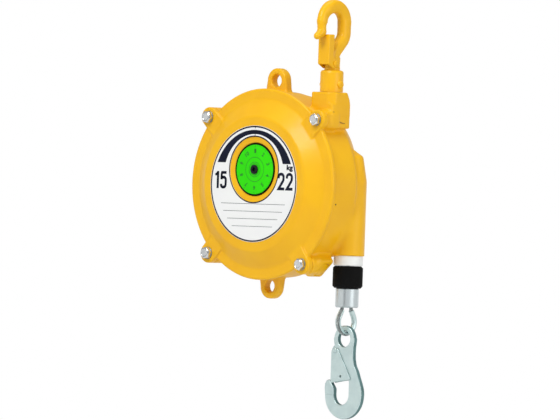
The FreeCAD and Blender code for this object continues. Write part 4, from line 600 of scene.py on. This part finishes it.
def wires(line, side, strands=6, wires_each=6):
    """One tube for each wire: its offset is STRAND_OUT at the strand's angle plus WIRE_OUT at its own."""
    s = np.linspace(0, np.linalg.norm(np.diff(line, axis=0), axis=1).sum(), len(line))
    ring = np.linspace(0, 2 * np.pi, 6, endpoint=False)
    thick = np.full(len(line), WIRE_RADIUS)
    thick[[0, -1]] = 0.001                      # the ends close to a point
    for strand in range(strands):
        big = 2 * np.pi * (s / ROPE_LAY + strand / strands)
        for wire in range(wires_each):
            small = -2 * np.pi * (s / STRAND_LAY - wire / wires_each)
            a = STRAND_OUT * np.cos(big) + WIRE_OUT * np.cos(small)
            b = STRAND_OUT * np.sin(big) + WIRE_OUT * np.sin(small)
            section = np.stack([a[:, None] + thick[:, None] * np.cos(ring),
                                b[:, None] + thick[:, None] * np.sin(ring)], -1)
            yield sweep(line, section, side)


rope_eye = make_piece("rope_eye_wires", *many(wires(eye_line, (1.0, 0, 0))), "rope_end", ["rope_eye"],
                      origin=EYE)

# %% [markdown]
# ## Thimble, guide, stopper and worm plug
# The thimble is a grooved liner that spares the rope where it hangs in the hook. It is rolled from
# sheet, so its section is an open channel with thin lips, carried round the same line.

# %% Thimble
spread = np.radians(np.linspace(-104, 104, 25))
lip = 3.35 + 0.25 * (np.abs(spread) / spread[-1]) ** 8
channel = np.concatenate([np.stack([lip * np.cos(spread), lip * np.sin(spread)], 1),
                          2.5 * np.stack([np.cos(spread), np.sin(spread)], 1)[::-1]])
THIMBLE_HIGH = 29.3
thimble_line = eye_line[eye_line[:, 2] < THIMBLE_HIGH]
thimble_points, thimble_faces = sweep(thimble_line, channel, (1.0, 0, 0))
rim = len(channel)
strip = np.arange(rim // 2 - 1)
end_cap = np.stack([strip, strip + 1, rim - 2 - strip, rim - 1 - strip], 1)
start_cap = end_cap[:, ::-1] + rim * (len(thimble_line) - 1)
thimble = make_piece("thimble_channel", thimble_points,
                     np.concatenate([thimble_faces, end_cap, start_cap]), "rope_end", ["thimble"],
                     origin=EYE)

# %% Guide, stopper and worm plug
OUTLET = ROPE + COVER
guide = make_piece("guide_collar", *turn(rounded(
    [(3.4, -78), (8.9, -78), (8.9, -82.35), (17.6, -82.35), (17.6, -94.2), (6, -94.2), (3.4, -90),
     (3.4, -78)],
    [0.3, 0.2, 0.5, 1.3, 1, 0.5])), "casing", ["outlet_guide"], origin=OUTLET)
stopper = make_piece("stopper_body", *turn(rounded(
    [(2.45, -94.55), (15.8, -94.55), (18.1, -96.8), (18.1, -118.7), (15.6, -121.15), (2.45, -121.15),
     (2.45, -94.55)], [0.8, 0.8, 0.8, 0.8, 0.3]), steps=96), "rope_end", ["rope_stopper"], origin=OUTLET)
plug = make_piece("worm_plug_dome", *turn(rounded(
    [(0, 128), (9.83, 128), (9.83, 137.2), (6, 138.4), (0, 139.0)], [0.5, 0.8, 6]), worm_way,
    worm_axis, 64), "casing", ["worm_plug"])

# %% [markdown]
# ## The lower hook
# The lower hook is drop forged as a flat plate with its edges rounded over, then zinc plated. Flat
# outlines make its form: eye, limb, bowl and nose are joined, and the throat, the slot and the eye's
# hole are taken away. A plate of 6 mm follows from that flat shape.

# %% Lower hook
LOWER = np.array([9.0, 30.7, -378.435])     # middle of the eye's hole, in mm from the top hook's bowl
EYE_HOLE, RIVET_X, RIVET_Z = 9.7, -12.7, -14.2
limb_outline = Outline([(-15.9, 0), (-12.7, -20.4), (-4, -21.5), (9.9, -47), (9.9, -67.5), (31, -66.9),
                        (30.4, -60.2), (28, -52.85), (24.9, -45.9), (22, -38.7), (17.6, -31.5),
                        (15.7, -24), (15.3, -17), (15.9, 0)],
                       [0, 2, 3, 6, 0, 0, 8, 12, 12, 12, 12, 12, 10, 0])
throat_outline = Outline([(9.9, -67.5), (9.9, -47), (-4, -21.5), (-59, -21.5), (-59, -66.9), (-13.5, -66.9)],
                         [0, 9, 2, 0, 0, 0])
nose_outline = Outline([(-28, -66.9), (-28.9, -59.9), (-28.4, -54.5), (-26.3, -51), (-23.5, -49.5),
                        (-20.8, -50.3), (-13.5, -60), (-13.5, -68)], [0, 4, 3, 2, 2, 2, 5, 0])


def lower_hook_field(p):
    """Flat forms joined and cut in the XZ plane, made 6 mm thick with edges of 1.5 mm."""
    x, y, z = np.moveaxis(p, -1, 0)
    slot = np.hypot(x + 1.8, z + 67.5) - 11.7
    form = join(np.hypot(x, z) - 15.9, limb_outline(x, z), 3.0)
    form = join(form, np.hypot(x - RIVET_X, z - RIVET_Z) - 6.2, 2.0)
    form = join(form, np.hypot(x - 1.5, z + 66.9) - 29.5, 1.0)
    form = carve(form, throat_outline(x, z), 0.5)
    form = join(form, nose_outline(x, z), 0.5)
    form = carve(form, slot, 0.5)
    form = carve(form, np.hypot(x, z) - EYE_HOLE, 0.2)
    form = plate_form(form, y, 0, 3.0, 1.1)
    return carve(form, np.hypot(x - RIVET_X, z - RIVET_Z) - 1.9, 0.2)


lower_hook = make_piece("lower_hook_skin", *skin(lower_hook_field, (-30, -4, -98), (32, 4, 17), 0.55),
                        "lower_hook", ["lower_hook"], origin=LOWER)

# %% Lower latch and its rivet
gate_outline = Outline([(-18.7, -13.7), (-8.8, -11), (14.5, -48.6), (-3, -50.8), (-18.7, -53.7)],
                       [3, 3, 2, 4, 2], 0.25, 4)


def lower_latch_field(p):
    """A fold of 1 mm sheet: web on the left between two cheeks, with a small hole near its foot."""
    x, y, z = np.moveaxis(p, -1, 0)
    form = plate_form(gate_outline(x, z), y, 0, 4.3, 0.8)
    form = carve(form, brick(p, (-17.7, -3.3, -80), (50, 3.3, 20), 0.4), 0.2)
    form = carve(form, brick(p, (-40, -3.3, -19), (50, 3.3, 20), 0.4), 0.2)
    form = carve(form, brick(p, (-40, -3.3, -80), (50, 3.3, -48), 0.4), 0.2)
    return carve(form, np.hypot(x + 2.6, z + 45.0) - 1.4, 0.2)


lower_latch = make_piece("lower_latch_skin", *skin(lower_latch_field, (-20, -5, -55), (16, 5, -10), 0.4),
                         "lower_latch", ["lower_latch"], origin=LOWER)
rivet = make_piece("latch_rivet_domed", *pin(3.0, 1.0, 1.75, 4.35, (RIVET_X, 0, RIVET_Z), (0, 1, 0)),
                   "lower_hook", ["latch_rivet"], origin=LOWER)

# %% [markdown]
# ## Name plate and dial
# The name plate is a printed film on the raised face: a dark crescent from light to heavy, the two
# ends of the range in kilograms, and ruled fields below. The printing is modelled as flat shapes a
# few hundredths of a millimetre above the film, which stay sharp from any distance.

# %% Flat shapes on a face that looks to the front
PRINT = 0.05


def ribbon(first, second, face):
    """The strip between two lines of (x, z) points, at a height in front of the cover."""
    first, second = np.asarray(first), np.asarray(second)
    flat = np.concatenate([first, second])
    points = np.stack([flat[:, 0], np.full(len(flat), face), flat[:, 1]], 1)
    a = np.arange(len(first) - 1)
    return points, np.stack([a, a + 1, a + 1 + len(first), a + len(first)], 1)


def arc(radius, start, end, centre=(0, 0), steps=121):
    """Points on a circle, in degrees from +X towards +Z."""
    t = np.radians(np.linspace(start, end, steps))
    return np.stack([centre[0] + radius * np.cos(t), centre[1] + radius * np.sin(t)], 1)


def circle_line(radius, wide, face, centre=(0, 0)):
    """A printed ring, half its width on each side of the radius."""
    return ribbon(arc(radius + wide / 2, 0, 360, centre), arc(radius - wide / 2, 0, 360, centre), face)


def stroke(start, end, wide, face):
    """A straight ruled line between two points."""
    start, end = np.array(start, float), np.array(end, float)
    way = (end - start) / np.linalg.norm(end - start)
    side_way = wide / 2 * np.array([-way[1], way[0]])
    return ribbon([start + side_way, end + side_way], [start - side_way, end - side_way], face)


def thick_line(points, radii, wide, face, at=(0, 0)):
    """A line of even width through softened corners, as a numeral's stroke is."""
    line = line_of(points, radii, 8) + at
    line = line[np.r_[True, np.linalg.norm(np.diff(line, axis=0), axis=1) > 1e-6]]
    way = np.diff(line, axis=0)
    way /= np.linalg.norm(way, axis=1)[:, None]
    way = np.concatenate([way[:1], way[:-1] + way[1:], way[-1:]])
    way /= (way ** 2).sum(1)[:, None] / np.where(np.arange(len(way)) % (len(way) - 1), 2, 1)[:, None]
    across = wide / 2 * np.stack([-way[:, 1], way[:, 0]], 1)
    return ribbon(line + across, line - across, face)


def figures(text, low_left, high, wide, face, spin=0.0, bold=0.02):
    """Text from the built-in font, stretched to a box; spin turns it about the box's middle."""
    curve = bpy.data.curves.new("figures", "FONT")
    curve.body, curve.offset, curve.resolution_u = text, bold, 4
    holder = bpy.data.objects.new("figures", curve)
    mesh = bpy.data.meshes.new_from_object(holder)
    flat = np.empty(3 * len(mesh.vertices))
    mesh.vertices.foreach_get("co", flat)
    flat = flat.reshape(-1, 3)[:, :2]
    mesh.calc_loop_triangles()
    faces = np.empty(3 * len(mesh.loop_triangles), int)
    mesh.loop_triangles.foreach_get("vertices", faces)
    faces = np.insert(faces.reshape(-1, 3), 3, -1, axis=1)
    low, top = flat.min(0), flat.max(0)
    box = np.array([wide, high])
    flat = (flat - low) / (top - low) * box - box / 2
    turned_flat = flat @ np.array([[math.cos(spin), math.sin(spin)], [-math.sin(spin), math.cos(spin)]])
    flat = turned_flat + box / 2 + low_left
    bpy.data.objects.remove(holder)
    bpy.data.curves.remove(curve)
    bpy.data.meshes.remove(mesh)
    return np.stack([flat[:, 0], np.full(len(flat), face), flat[:, 1]], 1), faces


# %% Printing on the name plate
FILM_THICK = 0.6
film = FACE - FILM_THICK - PRINT
DIAL = (0, SHAFT_RISE)
ends = math.degrees(math.asin(24.8 / 64.7))
inner_ends = math.degrees(math.asin((24.8 - 11.5) / 48.2))
marks = [
    circle_line(68.7, 1.8, film), circle_line(39.9, 1.5, film, DIAL),
    ribbon(arc(64.7, ends, 180 - ends), arc(48.2, inner_ends, 180 - inner_ends, (0, 11.5)), film),
    thick_line([(5.4, 14.1), (5.4, -6.5)], [], 3.6, film, (-63.7, 0)),
    thick_line([(5.4, 12.4), (1.0, 9.4)], [], 3.0, film, (-63.7, 0)),
    thick_line([(9.9, 12.6), (2.3, 12.6), (1.9, 4.2)], [0.3], 3.4, film, (-54.4, 0)),
    thick_line([(1.7, 5.2), (3.4, 6.9), (9.0, 6.9), (9.0, -5.0), (1.6, -5.0), (1.6, -1.2)],
               [0.6, 3.4, 3.4, 2.6], 3.5, film, (-54.4, 0)),
    *[thick_line([(1.7, 7.6), (1.7, 12.6), (9.6, 12.6), (9.6, 5.4), (2.2, -5.0), (11.4, -5.0)],
                 [3.4, 3.4, 5.0, 0.0], 3.5, film, (x, 0)) for x in (39.0, 52.4)],
    figures("kg", (53.0, 15.6), 8.3, 10.2, film, bold=0.05),
    stroke((0, 66.6), (0, 69.0), 1.0, film), stroke((0, 57.6), (0, 60.0), 1.0, film)]
for height, half in ((-24, 52), (-33, 48), (-42, 41), (-51, 33)):
    marks.append(stroke((-half, height), (half, height), 0.5, film))
printing = make_piece("scale_printing", *many(marks), "casing", smooth=False)

# %% Dial: circles and tension figures
NUMERALS, NUMERAL_HIGH, TICK_IN, TICK_OUT = 22.3, 5.2, 26.8, 28.6
dial_face = -13.0 - PRINT
dial_marks = [circle_line(radius, wide, dial_face, DIAL)
              for radius, wide in ((6.8, 0.5), (8.9, 0.6), (14.6, 0.6))]
for count in range(10):
    angle = math.radians(90 - 36 * count)
    x, z = NUMERALS * math.cos(angle), SHAFT_RISE + NUMERALS * math.sin(angle)
    text = str(count + 1)
    wide = 3.0 * len(text)
    dial_marks.append(figures(text, (x - wide / 2, z - NUMERAL_HIGH / 2), NUMERAL_HIGH, wide, dial_face,
                              angle - math.pi / 2, 0.03))
    tick = [(reach * math.cos(angle), SHAFT_RISE + reach * math.sin(angle))
            for reach in (TICK_IN, TICK_OUT)]
    dial_marks.append(stroke(*tick, 0.5, dial_face))
dial_print = make_piece("dial_printing", *many(dial_marks), "main_shaft", smooth=False)
# A thin black sleeve lines the wall of the dial's well: partly a rubber seal, partly painted shade for the
# dark gap round the dial.
lining = make_piece("dial_seal_and_gap_shade", *turn(rounded(
    [(30.1, -12.9), (30.1, -8.65), (31.55, -8.65), (31.55, -12.9), (30.8, -13.2), (30.1, -12.9)][::-1],
    [0.2, 0.3, 0.2, 0.2]), (0, 1, 0), (0, 0, SHAFT_RISE), 96), "casing")

# %% [markdown]
# The casting gets two small dark marks of painted shade: a curved line on the hook block's right side, for
# the shadow along a shallow curved step there, and a black disc for the dark inside of a small drain hole in
# the wall's side, just behind the cover. The curved line is the strip between two arcs whose ends run
# together, so it is drawn with the ribbon and then turned to face sideways.

# %% Painted shade: the step on the hook block and the drain hole in the wall
DRAIN_DROP = 21.5
outer_arc = arc(20.0, 196, 276, (35.3, 95.2), 41)
inner_arc = arc(20.0, 199, 273, (36.3, 96.2), 41)
mark_points, mark_faces = ribbon(outer_arc, inner_arc, 97.75)
mark_points = mark_points[:, [1, 0, 2]]
# painted shadow: a dark enamel line just proud of the block's side, for the shadow along the step
painted_step_shadow = make_piece("painted_step_shadow", mark_points, mark_faces[:, ::-1], "casing", smooth=False)
drain_way = np.array([math.sqrt(WALL_RADIUS ** 2 - DRAIN_DROP ** 2), 0, -DRAIN_DROP]) / WALL_RADIUS
# painted shade: a black disc on the wall for the dark inside of the drain hole
drain_shade = make_piece("drain_hole_shade", *turn([(0, 0.12), (1.0, 0.08), (1.1, -0.5), (0, -0.5)], drain_way,
                                       tuple(WALL_RADIUS * drain_way + (0, 13, 0)), 24), "casing")


# %% [markdown]
# ## Finishes
# Every finish is a Principled shader with patterns on Object coordinates, so a grain keeps its real
# size on each piece. One noise shifts the colour a little, another sets how rough the surface is,
# and a third is read as height for the bump. What is uniform is set on the shader's own sockets.


# %% A finish from colours, roughness and grain
def finish(name, light, dark, roughness, metal=0.0, grain=60, stretch=(1, 1, 1), bump=0.1, deep=0.1,
           rough_shift=0.08, **sockets):
    """Noise between two colours; noise around a roughness; noise as a height of deep mm."""
    material = bpy.data.materials.new(name)
    material.use_nodes = True
    tree = material.node_tree
    shader = tree.nodes["Principled BSDF"]
    place = tree.nodes.new("ShaderNodeTexCoord")
    scale = tree.nodes.new("ShaderNodeMapping")
    scale.inputs["Scale"].default_value = stretch
    tree.links.new(place.outputs["Object"], scale.inputs["Vector"])

    def noise(size, detail):
        """Noise at so many grains to the metre, with so many finer layers."""
        pattern = tree.nodes.new("ShaderNodeTexNoise")
        pattern.inputs["Scale"].default_value = size
        pattern.inputs["Detail"].default_value = detail
        tree.links.new(scale.outputs["Vector"], pattern.inputs["Vector"])
        return pattern.outputs["Fac"]

    shades = tree.nodes.new("ShaderNodeValToRGB")
    shades.color_ramp.elements[0].position, shades.color_ramp.elements[1].position = 0.3, 0.7
    shades.color_ramp.elements[0].color = (*dark, 1)
    shades.color_ramp.elements[1].color = (*light, 1)
    tree.links.new(noise(grain * 0.4, 4), shades.inputs["Fac"])
    tree.links.new(shades.outputs["Color"], shader.inputs["Base Color"])
    span = tree.nodes.new("ShaderNodeMapRange")
    span.inputs["To Min"].default_value = roughness - rough_shift
    span.inputs["To Max"].default_value = roughness + rough_shift
    tree.links.new(noise(grain, 3), span.inputs["Value"])
    tree.links.new(span.outputs["Result"], shader.inputs["Roughness"])
    relief = tree.nodes.new("ShaderNodeBump")
    relief.inputs["Strength"].default_value = bump
    relief.inputs["Distance"].default_value = deep * MM
    tree.links.new(noise(grain * 5, 2), relief.inputs["Height"])
    tree.links.new(relief.outputs["Normal"], shader.inputs["Normal"])
    shader.inputs["Metallic"].default_value = metal
    for socket, value in sockets.items():
        shader.inputs[socket.replace("_", " ")].default_value = value
    return material


def wear(material, *things, edges=None):
    """Gives each thing this material, and a second one for the faces on its edges."""
    for thing in things:
        for count, layer in enumerate([material, edges] if edges else [material]):
            if count < len(thing.data.materials):
                thing.data.materials[count] = layer
            else:
                thing.data.materials.append(layer)


# %% Finishes by name
enamel = finish("golden_enamel", (0.90, 0.49, 0.002), (0.86, 0.445, 0.002), 0.40, grain=70, bump=0.25,
                deep=0.25, Specular_IOR_Level=0.3, Coat_Weight=0.12, Coat_Roughness=0.15)
zinc = finish("bright_zinc", (0.80, 0.81, 0.80), (0.62, 0.64, 0.65), 0.25, 1.0, grain=220, bump=0.3)
dull_zinc = finish("dull_zinc", (0.40, 0.41, 0.40), (0.26, 0.27, 0.27), 0.4, 1.0, grain=220, bump=0.3)
pale_zinc = finish("pale_zinc", (0.66, 0.80, 0.79), (0.56, 0.70, 0.70), 0.34, 0.6, grain=180, bump=0.3)
# painted shade: a dark copy of the pale zinc for the edge faces of the lower hook and latch, standing for
# the shadow lines there
edge_shade = finish("painted_edge_shade", (0.16, 0.29, 0.29), (0.09, 0.18, 0.18), 0.5, 0.4, grain=260, bump=0.5)
nickel = finish("ferrule_metal", (0.66, 0.72, 0.73), (0.56, 0.62, 0.64), 0.30, 0.9, grain=60,
                stretch=(6, 6, 0.4), bump=0.3, deep=0.06)
strand = finish("strand_wire", (0.52, 0.56, 0.55), (0.24, 0.27, 0.28), 0.35, 0.9, grain=400, bump=0.3)
rubber = finish("black_rubber", (0.004, 0.004, 0.004), (0.002, 0.002, 0.002), 0.6, grain=150, bump=0.3,
                Specular_IOR_Level=0.08)
nylon = finish("white_nylon", (0.88, 0.89, 0.87), (0.82, 0.84, 0.82), 0.4, grain=120, bump=0.2)
film_white = finish("label_film", (0.87, 0.88, 0.87), (0.84, 0.85, 0.85), 0.35, grain=40, bump=0.05)
ink = finish("label_ink", (0.009, 0.012, 0.032), (0.005, 0.007, 0.018), 0.5, grain=140, bump=0.05,
             Specular_IOR_Level=0.1)
green = finish("dial_green", (0.035, 0.76, 0.001), (0.028, 0.68, 0.001), 0.45, grain=60, bump=0.1,
               Specular_IOR_Level=0.15)
green_ink = finish("dial_ink", (0.004, 0.22, 0.002), (0.003, 0.14, 0.002), 0.45, grain=90, bump=0.05)
black = finish("black_oxide", (0.010, 0.010, 0.014), (0.005, 0.005, 0.007), 0.4, grain=200, bump=0.3,
               Specular_IOR_Level=0.2)
steel = finish("turned_steel", (0.55, 0.56, 0.57), (0.42, 0.43, 0.44), 0.32, 1.0, grain=160, bump=0.2)
polished = finish("ground_steel", (0.72, 0.73, 0.74), (0.62, 0.63, 0.64), 0.14, 1.0, grain=120, bump=0.05,
                  rough_shift=0.04)
blued = finish("blued_strip", (0.10, 0.12, 0.17), (0.06, 0.07, 0.11), 0.35, 0.9, grain=90, bump=0.1)
bronze = finish("bearing_bronze", (0.62, 0.42, 0.20), (0.50, 0.32, 0.14), 0.38, 0.9, grain=200, bump=0.2)
cast = finish("cast_aluminium", (0.62, 0.63, 0.64), (0.50, 0.51, 0.52), 0.5, 0.9, grain=260, bump=0.5)
shadow = finish("mark_shade", (0.34, 0.15, 0.006), (0.26, 0.11, 0.005), 0.5, grain=100, bump=0.1)

# %% Which piece wears what
by_slot = {"zinc": zinc, "bronze": bronze, "black_plastic": black, "white_plastic": nylon, "steel": steel,
           "black_steel": black, "spring_steel": blued, "bearing_steel": polished, "cast_aluminium": cast,
           "rope_steel": strand, "black_rubber": rubber, "yellow_casting": enamel, "yellow_paint": enamel,
           "label_white": film_white, "green_plastic": green, "hook_steel": pale_zinc}
for node in nodes.values():
    wear(by_slot[node.active_material.name.split(".")[0]], node)
wear(enamel, cover, casing, top_hook, top_latch, hook_pin, latch_pin, plug)
wear(zinc, bolts)
wear(dull_zinc, washers)
wear(pale_zinc, rivet, thimble)
# Painted shade: the edge faces of the lower hook and latch, and the inside of the latch's small hole, turn
# dark.
edge_shade_faces(lower_hook, 1)
edge_shade_faces(lower_latch, 1)
wear(pale_zinc, lower_hook, lower_latch, edges=edge_shade)
wear(strand, rope_eye)
# the dial's black lining is partly painted shade
wear(rubber, stopper, lining)
wear(nylon, guide)
wear(ink, printing)
wear(green_ink, dial_print)
wear(shadow, painted_step_shadow)
# painted shade in the drain hole
wear(black, drain_shade)
wear(nickel, nodes["ferrule"])

# %% [markdown]
# ## Floor, light and camera
# The balancer hangs in the air over a plain pale floor, in soft studio light. The stage is in metres.
# A narrow black card stands beside the lens, unseen, so that bright metal has an edge to mirror.

# %% Stage
FLOOR = -0.62
bpy.ops.mesh.primitive_plane_add(size=6, location=(0, 0, FLOOR))
floor = bpy.context.object
floor.name = "floor"
wear(finish("pale_floor", (0.9, 0.9, 0.9), (0.87, 0.87, 0.87), 0.85, grain=3, bump=0.02), floor)


def lamp(name, place, target, size, power):
    """A square lamp at a place, turned so that its light falls on the target."""
    data = bpy.data.lights.new(name, "AREA")
    data.size, data.energy = size, power
    lamp_object = bpy.data.objects.new(name, data)
    bpy.context.scene.collection.objects.link(lamp_object)
    lamp_object.location = place
    way = np.array(target, float) - np.array(place, float)
    lamp_object.rotation_euler = [math.acos(way[2] / -np.linalg.norm(way)), 0,
                                  math.atan2(way[0], -way[1]) + math.pi]
    return lamp_object


middle = (-0.04, 0.0, -0.2)
AZIMUTH = math.radians(42.5)
side = np.array([math.cos(AZIMUTH), math.sin(AZIMUTH), 0])
view_back = np.array([math.sin(AZIMUTH), -math.cos(AZIMUTH), 0])
up = np.array([0, 0, 1.0])
lamp("key", tuple(1.3 * view_back - 0.9 * side + 1.2 * up), middle, 0.8, 23)
lamp("fill", tuple(1.2 * view_back + 1.5 * side + 0.3 * up), middle, 1.0, 10)
lamp("top", (0, 0, 1.6), middle, 1.0, 7)

card_place = np.array(middle) + 1.5 * (0.92 * view_back - 0.39 * side)
bpy.ops.mesh.primitive_plane_add(size=1, location=tuple(card_place),
                                 rotation=(math.radians(90), 0, AZIMUTH - math.radians(23)))
card = bpy.context.object
card.name = "black_card"
card.scale = (0.34, 1.6, 1)
card.visible_camera = card.visible_shadow = card.visible_diffuse = False
wear(finish("black_card", (0.02, 0.02, 0.02), (0.015, 0.015, 0.015), 0.9, grain=5, bump=0.02), card)

# %% [markdown]
# A studio is bright at eye level, where the backdrop is, softer above and darker towards the floor.
# The world's colour follows the height of a ray's direction, which gives bright metal something
# dark to mirror. A plain white world would leave the zinc flat.

# %% World
world = bpy.data.worlds.new("studio")
world.use_nodes = True
tree = world.node_tree
heading = tree.nodes.new("ShaderNodeTexCoord")
parts = tree.nodes.new("ShaderNodeSeparateXYZ")
band = tree.nodes.new("ShaderNodeMapRange")
band.inputs["From Min"].default_value = -1
tree.links.new(heading.outputs["Generated"], parts.inputs["Vector"])
tree.links.new(parts.outputs["Z"], band.inputs["Value"])
greys = tree.nodes.new("ShaderNodeValToRGB")
greys.color_ramp.elements.remove(greys.color_ramp.elements[1])
for position, grey in ((0.25, 0.12), (0.44, 0.2), (0.475, 1.0), (0.525, 1.0), (0.58, 0.35), (1.0, 0.5)):
    stop = greys.color_ramp.elements.new(position)
    stop.color = (grey, grey, grey, 1)
greys.color_ramp.elements[0].color = (0.1, 0.1, 0.1, 1)
tree.links.new(band.outputs["Result"], greys.inputs["Fac"])
tree.links.new(greys.outputs["Color"], tree.nodes["Background"].inputs["Color"])
bpy.context.scene.world = world

# %% [markdown]
# The camera looks from the right of the dial, from far away with a long lens, which keeps the round
# cover an even ellipse. It aims a little right of and below the cover's middle, so that both hooks
# are in the picture, and it is rolled slightly.

# %% Camera
bpy.context.scene.view_settings.view_transform = "Standard"
DISTANCE = 10.0
VIEW_WIDE = 672 * MM                       # width of the picture at the object
AIM_RIGHT, AIM_BELOW = 23.28 * MM, 30.24 * MM
camera_data = bpy.data.cameras.new("camera")
camera = bpy.data.objects.new("camera", camera_data)
bpy.context.scene.collection.objects.link(camera)
bpy.context.scene.camera = camera
cover_middle = COVER * MM
aim = cover_middle + side * AIM_RIGHT - up * AIM_BELOW
camera.location = aim + view_back * DISTANCE
ROLL = math.radians(2.0)
camera.rotation_mode = "QUATERNION"
look = Vector(-view_back).to_track_quat("-Z", "Y")
camera.rotation_quaternion = look @ Quaternion((0, 0, 1), ROLL)
SENSOR = 36
camera_data.sensor_width = SENSOR
camera_data.lens = SENSOR * DISTANCE / VIEW_WIDE
camera_data.clip_end = 100
